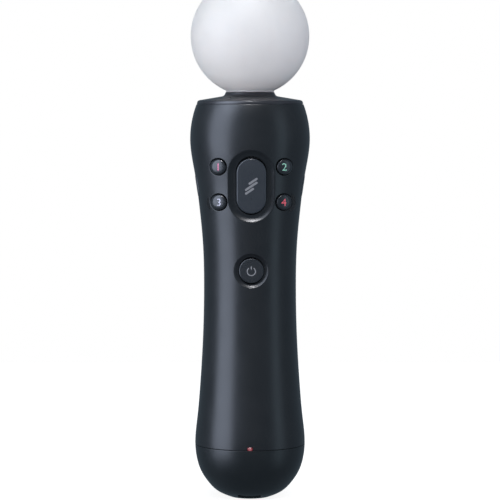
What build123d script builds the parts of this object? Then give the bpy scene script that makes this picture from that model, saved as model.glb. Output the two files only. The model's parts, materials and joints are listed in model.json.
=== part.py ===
# Motion controller wand: a round grip with a light ball, front keys, two side
# keys, a pulled trigger, a rumble motor, a battery and the boards inside.
# Frame: +Z up through the ball, the keys face -Y, +X is the wand's left-to-right
# as seen from the front, and the origin is the centre of the flat foot.
# Sizes are millimetres. Depths named *_front are distances in front of the axis.

import math
import os

from build123d import *

# Grip outline, a body of revolution
foot_radius = 7.8
tail_radius = 21.2
tail_height = 21.5
waist_radius = 17.72
waist_height = 81.0
head_radius = 22.98
head_height = 137.5
rim_step = 3.08            # how much narrower the rim is than the head
rim_radius = head_radius - rim_step
rim_height = 152.8
wall = 2.0
height_step = 1e-7         # how closely a height is found on the outline

# Points between the named stations: share of the radius step, share of the height step
bowl_shares = ((0.616, 0.116), (0.777, 0.279), (0.896, 0.465), (0.972, 0.698))
tail_shares = ((0.245, 0.158), (0.571, 0.375), (0.865, 0.658))
waist_shares = ((0.087, 0.3125), (0.345, 0.5625), (0.595, 0.741), (0.839, 0.866))
head_shares = ((0.153, 0.425), (0.484, 0.720), (0.857, 0.935))

# Where the housing comes apart
split_depth = 4.0          # plane between the front and rear shells, behind the axis
seam_gap = 0.10
cap_height = 20.4          # seam of the end cap
seat_height = 151.4        # seam of the collar
cap_ring_rise = 4.0
cap_ring_height = cap_height + cap_ring_rise
cap_ring_drop = 6.4
cap_ring_foot_height = cap_height - cap_ring_drop
cap_ring_wall = 1.5
fit_gap = 0.25             # an inner ring in its shell, and a key in its hole
overrun = 3.0

# Light ball and collar
ball_radius = 22.7
ball_wall = 1.8
ball_cut_height = 156.2
ball_foot_radius = 8.37
ball_height = ball_cut_height + math.sqrt(ball_radius**2 - ball_foot_radius**2)
neck_radius = 9.0
cone_radius = 9.9
cone_height = 154.5
flare_shares = (0.3, 0.35)   # middle of the flare, from the neck and from the cone
spigot_radius = 7.0
spigot_bore_radius = 5.6
spigot_foot_height = 147.6
deck_height = 149.4
skirt_wall = 1.6
skirt_depth = 3.0
ring_radius = 9.3
ring_thickness = 1.0
ring_groove = 0.5
ring_gap = 0.1
guide_radius = 5.3
guide_foot_height = 146.0
guide_lip = 0.2

# Light board under the ball
light_board_radius = 13.0
light_board_height = 144.2
light_board_thickness = 1.2
light_post_count = 3
light_post_circle = 11.0
light_post_radius = 1.5
emitter_side = 5.0
emitter_thickness = 1.4

# Screws
screw_radius = 0.8
screw_fit = 0.05
screw_head_radius = 1.6
screw_head_thickness = 1.2
light_screw_length = 3.6
board_screw_length = 4.2
shell_screw_radius = 0.95
shell_screw_head_radius = 2.0
shell_screw_head_thickness = 1.5

# Main board, standing behind the keys
board_front_share = 0.3917
board_front = board_front_share * head_radius
board_thickness = 1.6
board_foot_height = 18.5
board_top_height = 141.0
board_half_width = 12.5
board_head_half_width = 15.6
board_shoulder_height = 104.0
board_margin = 0.5         # board edge to the inside of the shell
board_post_radius = 2.2
board_post_side = 8.0
board_post_heights = (40.0, 101.0)

# Rubber mat under the front keys
mat_thickness = 1.0
mat_foot_height = 108.0
mat_top_height = 136.0
dome_height = 1.2
dome_taper_share = 0.65

# Front keys
key_middle = 0.5           # the row of keys stands this far to the right of the axis
key_rest_gap = 0.1
plunger_length = 0.2
plunger_radius = 1.1
flange_thickness = 0.7
flange_lip = 0.85
key_boss_wall = 1.3
key_relief = 0.4           # a flange to the inside of the shell
key_skin = 1.6

move_width_share = 0.4874
move_width = move_width_share * head_radius
move_length = 20.9
move_height = 120.6
move_moat = 0.55
move_proud = 0.05
move_dish_side = 3.15      # width of the sloped rim beside the key
move_dish_end = 3.1
move_dish_width = move_width + 2 * move_dish_side
move_dish_length = move_length + 2 * move_dish_end
move_dish_depth = 1.5
move_dome_radius = 3.0
dish_angle = 38.0

round_key_share = 0.1327
round_key_radius = round_key_share * head_radius
round_key_proud = 0.55
round_key_gap = 0.22
round_key_upper_height = 127.8
round_key_lower_height = 114.4
round_key_upper_share = 0.544
round_key_lower_share = 0.5352
round_key_upper_side = round_key_upper_share * head_radius
round_key_lower_side = round_key_lower_share * head_radius
round_dome_radius = 1.5

home_radius = 4.7
home_height = 88.5
home_proud = 0.05
home_moat = 0.4
home_dish_radius = 6.5
home_dish_depth = 1.0
home_dome_radius = 1.8
home_pad_radius = 4.2

# Side keys, one in each side of the front shell
side_key_width = 4.4
side_key_length = 8.6
side_key_height = 120.0
side_key_front = 2.5
side_key_proud = 0.35
side_key_gap = 0.2
side_flange_share = 0.7615
side_flange_reach = side_flange_share * head_radius
side_flange_thickness = 0.8
side_plunger_length = 0.6
side_plunger_radius = 1.1
side_dome_thickness = 1.1
side_dome_radius = 1.6
side_switch_thickness = 2.4
side_switch_length = 6.0
side_switch_back = 0.6     # back face of a switch, in front of the axis

# Trigger in the rear shell
trigger_width_share = 0.5657
trigger_width = trigger_width_share * head_radius
trigger_gap = 0.5
trigger_pin_share = 0.5831
trigger_pin_depth = trigger_pin_share * head_radius
trigger_pin_rise = 0.1
trigger_pin_height = head_height + trigger_pin_rise
trigger_pin_radius = 1.0
trigger_pin_fit = 0.05
trigger_barrel_radius = 2.7
trigger_skin = 2.1
trigger_side_wall = 1.7
trigger_edge_radius = 1.6
trigger_head_share = 0.99
trigger_belly_share = 0.9617
trigger_tip_share = 1.0705
trigger_skirt_share = 0.705
trigger_head_depth = trigger_head_share * head_radius
trigger_belly_depth = trigger_belly_share * head_radius
trigger_tip_depth = trigger_tip_share * head_radius
trigger_skirt_depth = trigger_skirt_share * head_radius
trigger_head_rise = 3.3
trigger_head_height = trigger_pin_height + trigger_head_rise
trigger_belly_drop = 14.1
trigger_belly_height = trigger_pin_height - trigger_belly_drop
trigger_tip_drop = 30.4
trigger_tip_height = trigger_pin_height - trigger_tip_drop
trigger_foot_drop = 2.7
trigger_foot_height = trigger_tip_height - trigger_foot_drop
trigger_hood_gap = 0.35
trigger_hood_wall = 1.4
trigger_hood_angle = 50.0
trigger_slot_foot_gap = 2.5
trigger_slot_foot_height = trigger_foot_height - trigger_slot_foot_gap
trigger_slot_top_gap = 0.5
trigger_slot_top_height = trigger_head_height + trigger_slot_top_gap
trigger_slot_share = 0.4787
trigger_slot_depth = trigger_slot_share * head_radius

# Trigger bracket, pin, spring and sensor
bracket_reach = 5.4
bracket_front_depth = trigger_pin_depth - bracket_reach
bracket_thickness = 1.5
bracket_foot_drop = 7.1
bracket_foot_height = trigger_pin_height - bracket_foot_drop
bracket_top_rise = 2.4
bracket_top_height = trigger_pin_height + bracket_top_rise
bracket_half_share = 0.74
bracket_half_width = bracket_half_share * head_radius
ear_gap = 0.5
ear_thickness = 1.6
ear_half_height = 3.6
spring_wire_radius = 0.35
spring_coil_radius = 1.75
spring_turns = 5
spring_pitch = 0.95
sensor_width = 6.0
sensor_length = 3.4
sensor_thickness = 1.6

# Rumble motor
motor_radius = 6.0
motor_depth = 3.0
motor_foot_gap = 1.6       # above the end cap's ring
motor_foot_height = cap_ring_height + motor_foot_gap
motor_length = 18.0
motor_fit = 0.05
shaft_radius = 1.0
shaft_length = 11.0
shaft_seat = 4.0
weight_radius = 5.4
weight_thickness = 6.0
weight_hub_radius = 2.2
weight_gap = 0.8
saddle_wall = 2.2
saddle_length = 12.0
saddle_post_radius = 3.0

# Bosses that hold the two shells together
upper_boss_share = 0.5918
upper_boss_side = upper_boss_share * head_radius
upper_boss_drop = 2.4
upper_boss_height = trigger_pin_height - upper_boss_drop
lower_boss_side = 9.5
lower_boss_gap = 3.0       # above the motor
lower_boss_height = motor_foot_height + motor_length + lower_boss_gap
boss_radius = 2.4
boss_length = 7.0
boss_rib = 1.6
rear_boss_radius = 3.2
upper_head_gap = 3.7
upper_head_depth = bracket_front_depth + bracket_thickness + upper_head_gap
lower_head_depth = 10.5

# Battery and its cradle
battery_width = 21.2
battery_thickness = 11.1
battery_length = 51.6
battery_front = 4.8
battery_foot_gap = 7.3     # above the lower screws
battery_foot_height = lower_boss_height + battery_foot_gap
battery_corner = 1.5
cradle_gap = 0.15
cradle_wall = 1.2
cradle_cheek = 8.0
cradle_post_radius = 3.0
cradle_post_shares = (0.2, 0.8)
plug_width = 6.0
plug_thickness = 2.5
plug_length = 4.0
plug_rise = 1.0
plug_height = lower_boss_height + plug_rise

# Chips on the back of the main board
chip_sizes = {
    "processor_chip": (9.0, 9.0, 1.2, 0.0, 112.5),
    "motion_sensor": (5.0, 5.0, 1.0, 0.0, 122.5),
    "radio_module": (12.0, 9.0, 1.6, 0.0, 132.5),
    "charge_chip": (4.0, 4.0, 1.0, 6.0, 24.0),
}

# Status light beside the end cap seam
lens_width = 2.2
lens_length = 1.3
lens_gap = 0.05
lens_inner_gap = 0.2
status_led_width = 1.6
status_led_thickness = 0.8

# Sockets, contacts and strap bar in the end cap
port_board_radius = 13.0
port_board_height = 12.2
port_board_thickness = 1.2
port_post_radius = 2.0
port_post_depth = 5.0
port_screw_length = 5.0
usb_width = 7.4
usb_thickness = 3.5
usb_depth = 10.1
extension_width = 9.0
extension_thickness = 2.8
extension_front = 10.1
socket_foot_height = 2.6
socket_wall = 0.4
socket_tongue = 0.7
socket_mouth_depth = 6.5
socket_gap = 0.12
contact_radius = 1.2
contact_side = 11.5
strap_pocket_half_width = 3.4
strap_pocket_foot_height = 11.0
strap_pocket_top_height = 18.0
strap_pocket_floor = 14.5
strap_pocket_wall = 1.0
strap_bar_radius = 0.9
strap_bar_depth = 17.6
strap_bar_seat = 0.8

# Depths that follow from the sizes above
dome_front = board_front + mat_thickness + dome_height
flange_back_front = dome_front + key_rest_gap + plunger_length
flange_face_front = flange_back_front + flange_thickness
boss_face_front = flange_face_front + key_rest_gap
board_back_front = board_front - board_thickness


def outline_points(inset):
    # Radius and height of the grip outline, moved inwards by the inset.
    lift = tail_height - inset
    points = [(foot_radius * (tail_radius - inset) / tail_radius, inset)]
    points += [((tail_radius - inset) * a, inset + lift * b) for a, b in bowl_shares]
    stations = (
        (tail_radius, tail_height, waist_radius, waist_height, tail_shares),
        (waist_radius, waist_height, head_radius, head_height, waist_shares),
        (head_radius, head_height, rim_radius, rim_height, head_shares),
    )
    for r0, z0, r1, z1, shares in stations:
        points.append((r0 - inset, z0))
        points += [(r0 + (r1 - r0) * a - inset, z0 + (z1 - z0) * b) for a, b in shares]
    return points + [(rim_radius - inset, rim_height)]


def grip(inset=0.0):
    # The solid grip form, smaller by the inset, or larger where it is negative.
    points = outline_points(inset)
    side = Spline(*points)
    lid = Polyline(points[-1], (0, rim_height), (0, inset), points[0])
    return revolve(Plane.XZ * make_face(side + lid), Axis.Z)


def radius_at(height):
    # Outer radius of the grip at a height, found on the outline curve.
    side = Spline(*outline_points(0.0))
    low, high = 0.0, 1.0
    while high - low > height_step:
        middle = (low + high) / 2
        if (side @ middle).Y < height:
            low = middle
        else:
            high = middle
    return (side @ low).X


def block(low, high):
    # A box from its low corner to its high corner.
    size = [b - a for a, b in zip(low, high)]
    return Pos(*low) * Box(*size, align=(Align.MIN, Align.MIN, Align.MIN))


def along_x(sketch, low, high, y, z):
    plane = Plane(origin=(low, y, z), x_dir=(0, 1, 0), z_dir=(1, 0, 0))
    return extrude(plane * sketch, high - low)


def along_y(sketch, x, z, low, high, taper=0.0):
    # A sketch in X and Z, grown from its high face towards the front.
    plane = Plane(origin=(x, high, z), x_dir=(1, 0, 0), z_dir=(0, -1, 0))
    return extrude(plane * sketch, high - low, taper=taper)


def along_z(sketch, x, y, low, high):
    return extrude(Pos(x, y, low) * sketch, high - low)


def upright_slot(width, length):
    return SlotOverall(length, width, rotation=90)


def both_sides(make):
    return make(-1) + make(1)


def screw_y(x, z, head, direction, shank, radius, head_radius, head_thickness):
    # A screw along Y: its head seats at the depth head and its shank runs in the direction.
    shank_low, shank_high = sorted((head, head + direction * shank))
    head_low, head_high = sorted((head, head - direction * head_thickness))
    stem = along_y(Circle(radius), x, z, shank_low, shank_high)
    return stem + along_y(Circle(head_radius), x, z, head_low, head_high)


def screw_z(x, y, head, direction, shank):
    # A small screw along Z, with the same rule for its head.
    shank_low, shank_high = sorted((head, head + direction * shank))
    head_low, head_high = sorted((head, head - direction * screw_head_thickness))
    stem = along_z(Circle(screw_radius), x, y, shank_low, shank_high)
    return stem + along_z(Circle(screw_head_radius), x, y, head_low, head_high)


# Places of the four round keys, across and up
round_keys = {
    "button_upper_left": (key_middle - round_key_upper_side, round_key_upper_height),
    "button_upper_right": (key_middle + round_key_upper_side, round_key_upper_height),
    "button_lower_left": (key_middle - round_key_lower_side, round_key_lower_height),
    "button_lower_right": (key_middle + round_key_lower_side, round_key_lower_height),
}

far = head_radius + overrun


def key_bosses():
    # Guide walls behind the front face, one round each key.
    reach = move_moat + key_boss_wall
    face = upright_slot(move_width + 2 * reach, move_length + 2 * reach)
    bosses = along_y(face, key_middle, move_height, -far, -boss_face_front)
    for x, z in round_keys.values():
        ring = Circle(round_key_radius + round_key_gap + key_boss_wall)
        bosses += along_y(ring, x, z, -far, -boss_face_front)
    ring = Circle(home_radius + home_moat + key_boss_wall)
    bosses += along_y(ring, key_middle, home_height, -far, -boss_face_front)
    return bosses


def key_holes():
    face = upright_slot(move_width + 2 * move_moat, move_length + 2 * move_moat)
    holes = along_y(face, key_middle, move_height, -far, 0)
    for x, z in round_keys.values():
        holes += along_y(Circle(round_key_radius + round_key_gap), x, z, -far, 0)
    holes += along_y(Circle(home_radius + home_moat), key_middle, home_height, -far, 0)
    return holes


def scoop(sketch, height, depth):
    # A dished recess: sloped walls down to a floor that follows the grip.
    # It starts deep and narrow, and reaches its full size at the grip's own surface.
    floor = radius_at(height) - depth
    start = floor - depth
    cutter = along_y(sketch, key_middle, height, -far, -start, taper=-dish_angle)
    return cutter - grip(depth)


def key_dishes():
    # The two dishes are drawn at the foot of their sloped walls.
    slope = math.tan(math.radians(dish_angle))
    shrink = 2 * move_dish_depth * slope
    face = upright_slot(move_dish_width - 2 * shrink, move_dish_length - 2 * shrink)
    dishes = scoop(face, move_height, move_dish_depth)
    shrink = 2 * home_dish_depth * slope
    dishes += scoop(Circle(home_dish_radius - shrink), home_height, home_dish_depth)
    return dishes


def side_key_hole(side):
    face = upright_slot(side_key_width + 2 * side_key_gap, side_key_length + 2 * side_key_gap)
    low, high = sorted((0, side * far))
    return along_x(face, low, high, -side_key_front, side_key_height)


def board_posts():
    # Posts from the front wall to the face of the main board.
    posts = None
    for z in board_post_heights:
        for side in (-1, 1):
            post = along_y(Circle(board_post_radius), side * board_post_side, z, -far, -board_front)
            hole = Circle(screw_radius + screw_fit)
            post -= along_y(hole, side * board_post_side, z, -board_front - board_screw_length, 0)
            posts = post if posts is None else posts + post
    return posts & grip(wall / 2)


def front_boss(side, place, height, top):
    # A screw boss of the front shell, tied to the side wall by a rib.
    foot = split_depth - boss_length
    x = side * place
    boss = along_y(Circle(boss_radius), x, height, foot, top)
    low, high = sorted((x, side * far))
    rib = block((low, foot, height - boss_rib / 2), (high, split_depth - seam_gap, height + boss_rib / 2))
    boss += rib & grip(wall / 2)
    return boss - along_y(Circle(shell_screw_radius + screw_fit), x, height, foot + wall, far)


def front_shell():
    skin = grip() - grip(wall)
    skin += key_bosses() & grip(wall / 2)
    skin -= key_dishes()
    skin -= key_holes()
    skin -= both_sides(side_key_hole)
    skin += board_posts()
    region = block((-far, -far, cap_height + seam_gap), (far, split_depth - seam_gap, seat_height))
    skin = skin & region
    skin -= lens_slot()
    bracket_face = bracket_front_depth
    skin += both_sides(lambda s: front_boss(s, upper_boss_side, upper_boss_height, bracket_face))
    skin += both_sides(lambda s: front_boss(s, lower_boss_side, lower_boss_height, split_depth))
    return skin


def lens_slot():
    # Notch for the status light in the lower edge of the front shell.
    half = lens_width / 2 + lens_gap
    top = cap_height + seam_gap + lens_length + lens_gap
    return block((-half, -far, 0), (half, 0, top))


def rear_boss(side, place, height, foot, head):
    x = side * place
    boss = along_y(Circle(rear_boss_radius), x, height, foot, far) & grip(wall / 2)
    boss -= along_y(Circle(shell_screw_radius + screw_fit), x, height, 0, far)
    return boss, along_y(Circle(shell_screw_head_radius + fit_gap), x, height, head, far)


def rear_posts():
    # Posts from the rear wall to the battery cradle and to the motor saddle.
    posts = None
    for share in cradle_post_shares:
        z = battery_foot_height + share * battery_length
        post = along_y(Circle(cradle_post_radius), 0, z, cradle_back(), far)
        posts = post if posts is None else posts + post
    z = motor_foot_height + motor_length / 2
    posts += along_y(Circle(saddle_post_radius), 0, z, saddle_back(), far)
    return posts & grip(wall / 2)


def rear_shell():
    skin = grip() - grip(wall)
    wells = None
    places = (
        (upper_boss_side, upper_boss_height, bracket_front_depth + bracket_thickness, upper_head_depth),
        (lower_boss_side, lower_boss_height, split_depth + seam_gap, lower_head_depth),
    )
    for place, height, foot, head in places:
        for side in (-1, 1):
            boss, well = rear_boss(side, place, height, foot, head)
            skin += boss
            wells = well if wells is None else wells + well
            skin -= along_y(Circle(shell_screw_radius + screw_fit), side * place, height, 0, far)
    skin += rear_posts()
    skin -= wells
    half = trigger_width / 2 + trigger_gap
    skin -= block((-half, trigger_slot_depth, trigger_slot_foot_height), (half, far, trigger_slot_top_height))
    return skin & block((-far, split_depth, cap_height + seam_gap), (far, far, seat_height))


def cap_ring_radius():
    return radius_at(cap_height) - wall - fit_gap


def strap_pocket(grow):
    half = strap_pocket_half_width + grow
    low = (-half, strap_pocket_floor - grow, strap_pocket_foot_height - grow)
    return block(low, (half, far, strap_pocket_top_height + grow))


def end_cap():
    bowl = (grip() - grip(wall)) & block((-far, -far, 0), (far, far, cap_height))
    ring = Circle(cap_ring_radius()) - Circle(cap_ring_radius() - cap_ring_wall)
    bowl += along_z(ring, 0, 0, cap_ring_foot_height, cap_ring_height)
    for side in (-1, 1):
        post = along_z(Circle(port_post_radius), 0, side * port_post_depth, wall / 2, port_board_foot())
        hole = Circle(screw_radius + screw_fit)
        foot = port_board_height - port_board_thickness - port_screw_length
        bowl += post - along_z(hole, 0, side * port_post_depth, foot, port_board_height)
    bowl += strap_pocket(strap_pocket_wall) & grip(wall / 2)
    bowl -= strap_pocket(0)
    low = strap_pocket_foot_height - strap_bar_seat
    high = strap_pocket_top_height + strap_bar_seat
    bowl -= along_z(Circle(strap_bar_radius + screw_fit), 0, strap_bar_depth, low, high)
    bowl -= socket_mouth(usb_width, usb_thickness, usb_depth)
    bowl -= socket_mouth(extension_width, extension_thickness, -extension_front)
    hole = Circle(contact_radius + screw_fit)
    bowl -= both_sides(lambda s: along_z(hole, s * contact_side, 0, -overrun, port_board_foot()))
    half = lens_width / 2 + lens_gap
    bowl -= block((-half, -far, cap_height), (half, 0, far))
    return bowl


def port_board_foot():
    return port_board_height - port_board_thickness


def socket_mouth(width, thickness, depth):
    face = Rectangle(width + 2 * socket_gap, thickness + 2 * socket_gap)
    return along_z(face, 0, depth, -overrun, socket_foot_height + overrun)


def socket(width, thickness, depth):
    # A metal socket shell with its mouth down and a tongue inside.
    foot = socket_foot_height
    case = along_z(Rectangle(width, thickness), 0, depth, foot, port_board_foot())
    mouth = Rectangle(width - 2 * socket_wall, thickness - 2 * socket_wall)
    case -= along_z(mouth, 0, depth, foot, foot + socket_mouth_depth)
    tongue = Rectangle(width - 4 * socket_tongue, socket_tongue)
    return case + along_z(tongue, 0, depth, foot + socket_tongue, foot + socket_mouth_depth)


def charge_contacts():
    pin = Circle(contact_radius)
    return both_sides(lambda s: along_z(pin, s * contact_side, 0, 0, port_board_foot())) & grip()


def strap_anchor():
    low = strap_pocket_foot_height - strap_bar_seat
    high = strap_pocket_top_height + strap_bar_seat
    return along_z(Circle(strap_bar_radius), 0, strap_bar_depth, low, high)


def port_board():
    board = along_z(Circle(port_board_radius), 0, 0, port_board_foot(), port_board_height)
    hole = Circle(screw_radius + screw_fit)
    for side in (-1, 1):
        board -= along_z(hole, 0, side * port_post_depth, 0, far)
    return board


def port_board_screws():
    return both_sides(
        lambda s: screw_z(0, s * port_post_depth, port_board_height, -1, port_screw_length)
    )


def neck_collar():
    # Cap between the grip and the ball: rim band, shallow cone, flare and inner skirt.
    seat = radius_at(seat_height)
    skirt = seat - wall - fit_gap
    foot = deck_height - skirt_depth
    points = (
        (spigot_radius + screw_fit, ball_cut_height), (spigot_radius + screw_fit, deck_height),
        (skirt - skirt_wall, deck_height), (skirt - skirt_wall, foot), (skirt, foot),
        (skirt, seat_height), (seat, seat_height), (rim_radius, rim_height), (cone_radius, cone_height),
    )
    lines = Polyline(*points)
    step, rise = cone_radius - neck_radius, ball_cut_height - cone_height
    bend = (neck_radius + flare_shares[0] * step, cone_height + flare_shares[1] * rise)
    flare = ThreePointArc(points[-1], bend, (neck_radius, ball_cut_height))
    close = Line((neck_radius, ball_cut_height), points[0])
    collar = revolve(Plane.XZ * make_face(lines + flare + close), Axis.Z)
    for x, y in light_posts():
        post = along_z(Circle(light_post_radius), x, y, light_board_height, deck_height)
        hole = Circle(screw_radius + screw_fit)
        collar += post - along_z(hole, x, y, light_board_height, light_board_height + light_screw_length)
    return collar


def light_posts():
    turn = 2 * math.pi / light_post_count
    angles = [math.pi / 2 + k * turn for k in range(light_post_count)]
    return [(light_post_circle * math.cos(a), light_post_circle * math.sin(a)) for a in angles]


def light_ball():
    ball = Pos(0, 0, ball_height) * Sphere(ball_radius)
    ball -= Pos(0, 0, ball_height) * Sphere(ball_radius - ball_wall)
    ball -= block((-far, -far, 0), (far, far, ball_cut_height))
    top = ball_cut_height + ball_wall / 2
    ball += along_z(Circle(spigot_radius), 0, 0, spigot_foot_height, top)
    ball -= along_z(Circle(spigot_bore_radius), 0, 0, 0, top + ball_wall)
    groove = Circle(spigot_radius + overrun) - Circle(spigot_radius - ring_groove)
    low, high = ring_heights()
    return ball - along_z(groove, 0, 0, low - ring_gap, high + ring_gap)


def ring_heights():
    high = deck_height - ring_gap
    return high - ring_thickness, high


def ball_retaining_ring():
    low, high = ring_heights()
    face = Circle(ring_radius) - Circle(spigot_radius - ring_groove + screw_fit)
    face -= Pos(0, -ring_radius) * Rectangle(spigot_radius, ring_radius)
    return along_z(face, 0, 0, low, high)


def light_guide():
    return along_z(Circle(guide_radius), 0, 0, guide_foot_height, ball_cut_height - guide_lip)


def light_board():
    foot = light_board_height - light_board_thickness
    board = along_z(Circle(light_board_radius), 0, 0, foot, light_board_height)
    for x, y in light_posts():
        board -= along_z(Circle(screw_radius + screw_fit), x, y, 0, rim_height)
    return board


def light_board_screws():
    foot = light_board_height - light_board_thickness
    screws = [screw_z(x, y, foot, 1, light_screw_length) for x, y in light_posts()]
    return Part() + screws


def light_emitter():
    face = Rectangle(emitter_side, emitter_side)
    return along_z(face, 0, 0, light_board_height, light_board_height + emitter_thickness)


def front_key(face, flange, x, z, proud):
    # One moulded key: its face follows the grip, a flange holds it behind the wall.
    stem = along_y(face, x, z, -far, -flange_back_front) & grip(-proud)
    rim = along_y(flange, x, z, -flange_face_front, -flange_back_front) & grip(wall + key_relief)
    tip = flange_back_front - plunger_length
    return stem + rim + along_y(Circle(plunger_radius), x, z, -flange_back_front, -tip)


def move_button():
    lip = 2 * (move_moat + flange_lip)
    face = upright_slot(move_width, move_length)
    flange = upright_slot(move_width + lip, move_length + lip)
    key = front_key(face, flange, key_middle, move_height, move_proud)
    hollow = upright_slot(move_width - 2 * key_skin, move_length - 2 * key_skin)
    hollow -= Circle(plunger_radius + key_skin)
    pocket = along_y(hollow, key_middle, move_height, -far, -flange_back_front)
    return key - (pocket & grip(key_skin))


def round_button(x, z):
    flange = Circle(round_key_radius + round_key_gap + flange_lip)
    return front_key(Circle(round_key_radius), flange, x, z, round_key_proud)


def home_button():
    flange = Circle(home_radius + home_moat + flange_lip)
    return front_key(Circle(home_radius), flange, key_middle, home_height, home_proud)


def dome(x, z, radius):
    # A rubber dome on the mat, drawn as a short cone.
    foot = board_front + mat_thickness
    low = Plane(origin=(x, -foot, z), x_dir=(1, 0, 0), z_dir=(0, -1, 0)) * Circle(radius)
    tip = Plane(origin=(x, -dome_front, z), x_dir=(1, 0, 0), z_dir=(0, -1, 0))
    return loft([low, tip * Circle(radius * dome_taper_share)])


def key_mat():
    low = (-board_head_half_width, -board_front - mat_thickness, mat_foot_height)
    sheet = block(low, (board_head_half_width, -board_front, mat_top_height))
    sheet = sheet & grip(wall + board_margin)
    sheet += dome(key_middle, move_height, move_dome_radius)
    for x, z in round_keys.values():
        sheet += dome(x, z, round_dome_radius)
    return sheet


def home_pad():
    face = Circle(home_pad_radius)
    pad = along_y(face, key_middle, home_height, -board_front - mat_thickness, -board_front)
    return pad + dome(key_middle, home_height, home_dome_radius)


def side_key(side):
    # A side key: an oval button with a flange inside and a short plunger.
    face = upright_slot(side_key_width, side_key_length)
    inner = side_flange_reach - side_flange_thickness
    stem = along_x(face, *sorted((side * inner, side * far)), -side_key_front, side_key_height)
    stem = stem & grip(-side_key_proud)
    lip = 2 * (side_key_gap + flange_lip)
    rim = upright_slot(side_key_width + lip, side_key_length + lip)
    span = sorted((side * inner, side * side_flange_reach))
    stem += along_x(rim, *span, -side_key_front, side_key_height) & grip(wall + key_relief / 2)
    span = sorted((side * (inner - side_plunger_length), side * inner))
    return stem + along_x(Circle(side_plunger_radius), *span, -side_key_front, side_key_height)


def side_dome_reach():
    return side_flange_reach - side_flange_thickness - side_plunger_length - key_rest_gap


def side_domes():
    high = side_dome_reach()
    low = high - side_dome_thickness
    face = Circle(side_dome_radius)
    return both_sides(
        lambda s: along_x(face, *sorted((s * low, s * high)), -side_key_front, side_key_height)
    )


def side_switches():
    # Upright switch blocks on the back of the main board, one behind each side key.
    high = side_dome_reach() - side_dome_thickness
    low = high - side_switch_thickness
    half = side_switch_length / 2
    z = side_key_height

    def switch(side):
        x0, x1 = sorted((side * low, side * high))
        return block((x0, -board_back_front, z - half), (x1, -side_switch_back, z + half))

    return both_sides(switch)


def main_board():
    low_part = block(
        (-board_half_width, -board_front, board_foot_height),
        (board_half_width, -board_back_front, board_shoulder_height),
    )
    head_part = block(
        (-board_head_half_width, -board_front, board_shoulder_height),
        (board_head_half_width, -board_back_front, board_top_height),
    )
    board = (low_part + head_part) & grip(wall + board_margin)
    for z in board_post_heights:
        for side in (-1, 1):
            board -= along_y(Circle(screw_radius + screw_fit), side * board_post_side, z, -far, 0)
    return board


def board_screws():
    places = [(side * board_post_side, z) for z in board_post_heights for side in (-1, 1)]
    length = board_screw_length + board_thickness - screw_head_thickness / 2
    sizes = (screw_radius, screw_head_radius, screw_head_thickness)
    return Part() + [screw_y(x, z, -board_back_front, -1, length, *sizes) for x, z in places]


def chip(width, length, thickness, x, z):
    back = -board_back_front
    low = (x - width / 2, back, z - length / 2)
    return block(low, (x + width / 2, back + thickness, z + length / 2))


def status_height():
    return cap_height + seam_gap + lens_length / 2


def status_lens():
    half = lens_width / 2
    foot = cap_height + seam_gap / 2
    back = board_front + status_led_thickness + lens_inner_gap
    bar = block((-half, -far, foot), (half, -back, foot + lens_length))
    return bar & grip()


def status_led():
    half = status_led_width / 2
    z = status_height()
    low = (-half, -board_front - status_led_thickness, z - half / 2)
    return block(low, (half, -board_front, z + half / 2))


def shell_screws():
    sizes = (shell_screw_radius, shell_screw_head_radius, shell_screw_head_thickness)
    places = (
        (upper_boss_side, upper_boss_height, upper_head_depth),
        (lower_boss_side, lower_boss_height, lower_head_depth),
    )
    screws = []
    for place, height, head in places:
        length = head - (split_depth - boss_length) - wall - sizes[0]
        screws += [screw_y(s * place, height, head, -1, length, *sizes) for s in (-1, 1)]
    return Part() + screws


def cradle_back():
    return battery_thickness - battery_front + cradle_gap + cradle_wall


def battery():
    half = battery_width / 2
    cell = block(
        (-half, -battery_front, battery_foot_height),
        (half, battery_thickness - battery_front, battery_foot_height + battery_length),
    )
    return fillet(cell.edges().filter_by(Axis.Z), battery_corner)


def battery_cradle():
    # A tray behind the battery, with cheeks, a foot and a head lip.
    inner = (battery_width / 2 + cradle_gap, cradle_back() - cradle_wall)
    low = battery_foot_height - cradle_gap
    high = battery_foot_height + battery_length + cradle_gap
    front = cradle_back() - cradle_wall - cradle_cheek
    outer_half = inner[0] + cradle_wall
    tray = block((-outer_half, front, low - cradle_wall), (outer_half, cradle_back(), high + cradle_wall))
    return tray - block((-inner[0], -far, low), (inner[0], inner[1], high))


def battery_plug():
    half = plug_width / 2
    low = (-half, -board_back_front, plug_height - plug_length / 2)
    return block(low, (half, -board_back_front + plug_thickness, plug_height + plug_length / 2))


def saddle_back():
    return motor_depth + motor_radius + saddle_wall


def rumble_motor():
    top = motor_foot_height + motor_length
    can = along_z(Circle(motor_radius), 0, motor_depth, motor_foot_height, top)
    return can - along_z(Circle(shaft_radius + motor_fit), 0, motor_depth, top - shaft_seat, top)


def motor_shaft():
    top = motor_foot_height + motor_length
    foot = top - shaft_seat + motor_fit
    return along_z(Circle(shaft_radius), 0, motor_depth, foot, foot + shaft_length)


def rumble_weight():
    # Half disc on a hub, off the shaft's axis so that it shakes the wand.
    low = motor_foot_height + motor_length + weight_gap
    width = 2 * weight_radius
    half_disc = Circle(weight_radius) & Pos(0, weight_radius) * Rectangle(width, width)
    face = half_disc + Circle(weight_hub_radius) - Circle(shaft_radius)
    return along_z(face, 0, motor_depth, low, low + weight_thickness)


def motor_saddle():
    half = motor_radius + saddle_wall
    middle = motor_foot_height + motor_length / 2
    low, high = middle - saddle_length / 2, middle + saddle_length / 2
    saddle = block((-half, motor_depth, low), (half, saddle_back(), high))
    return saddle - along_z(Circle(motor_radius + motor_fit), 0, motor_depth, 0, far + high)


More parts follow.
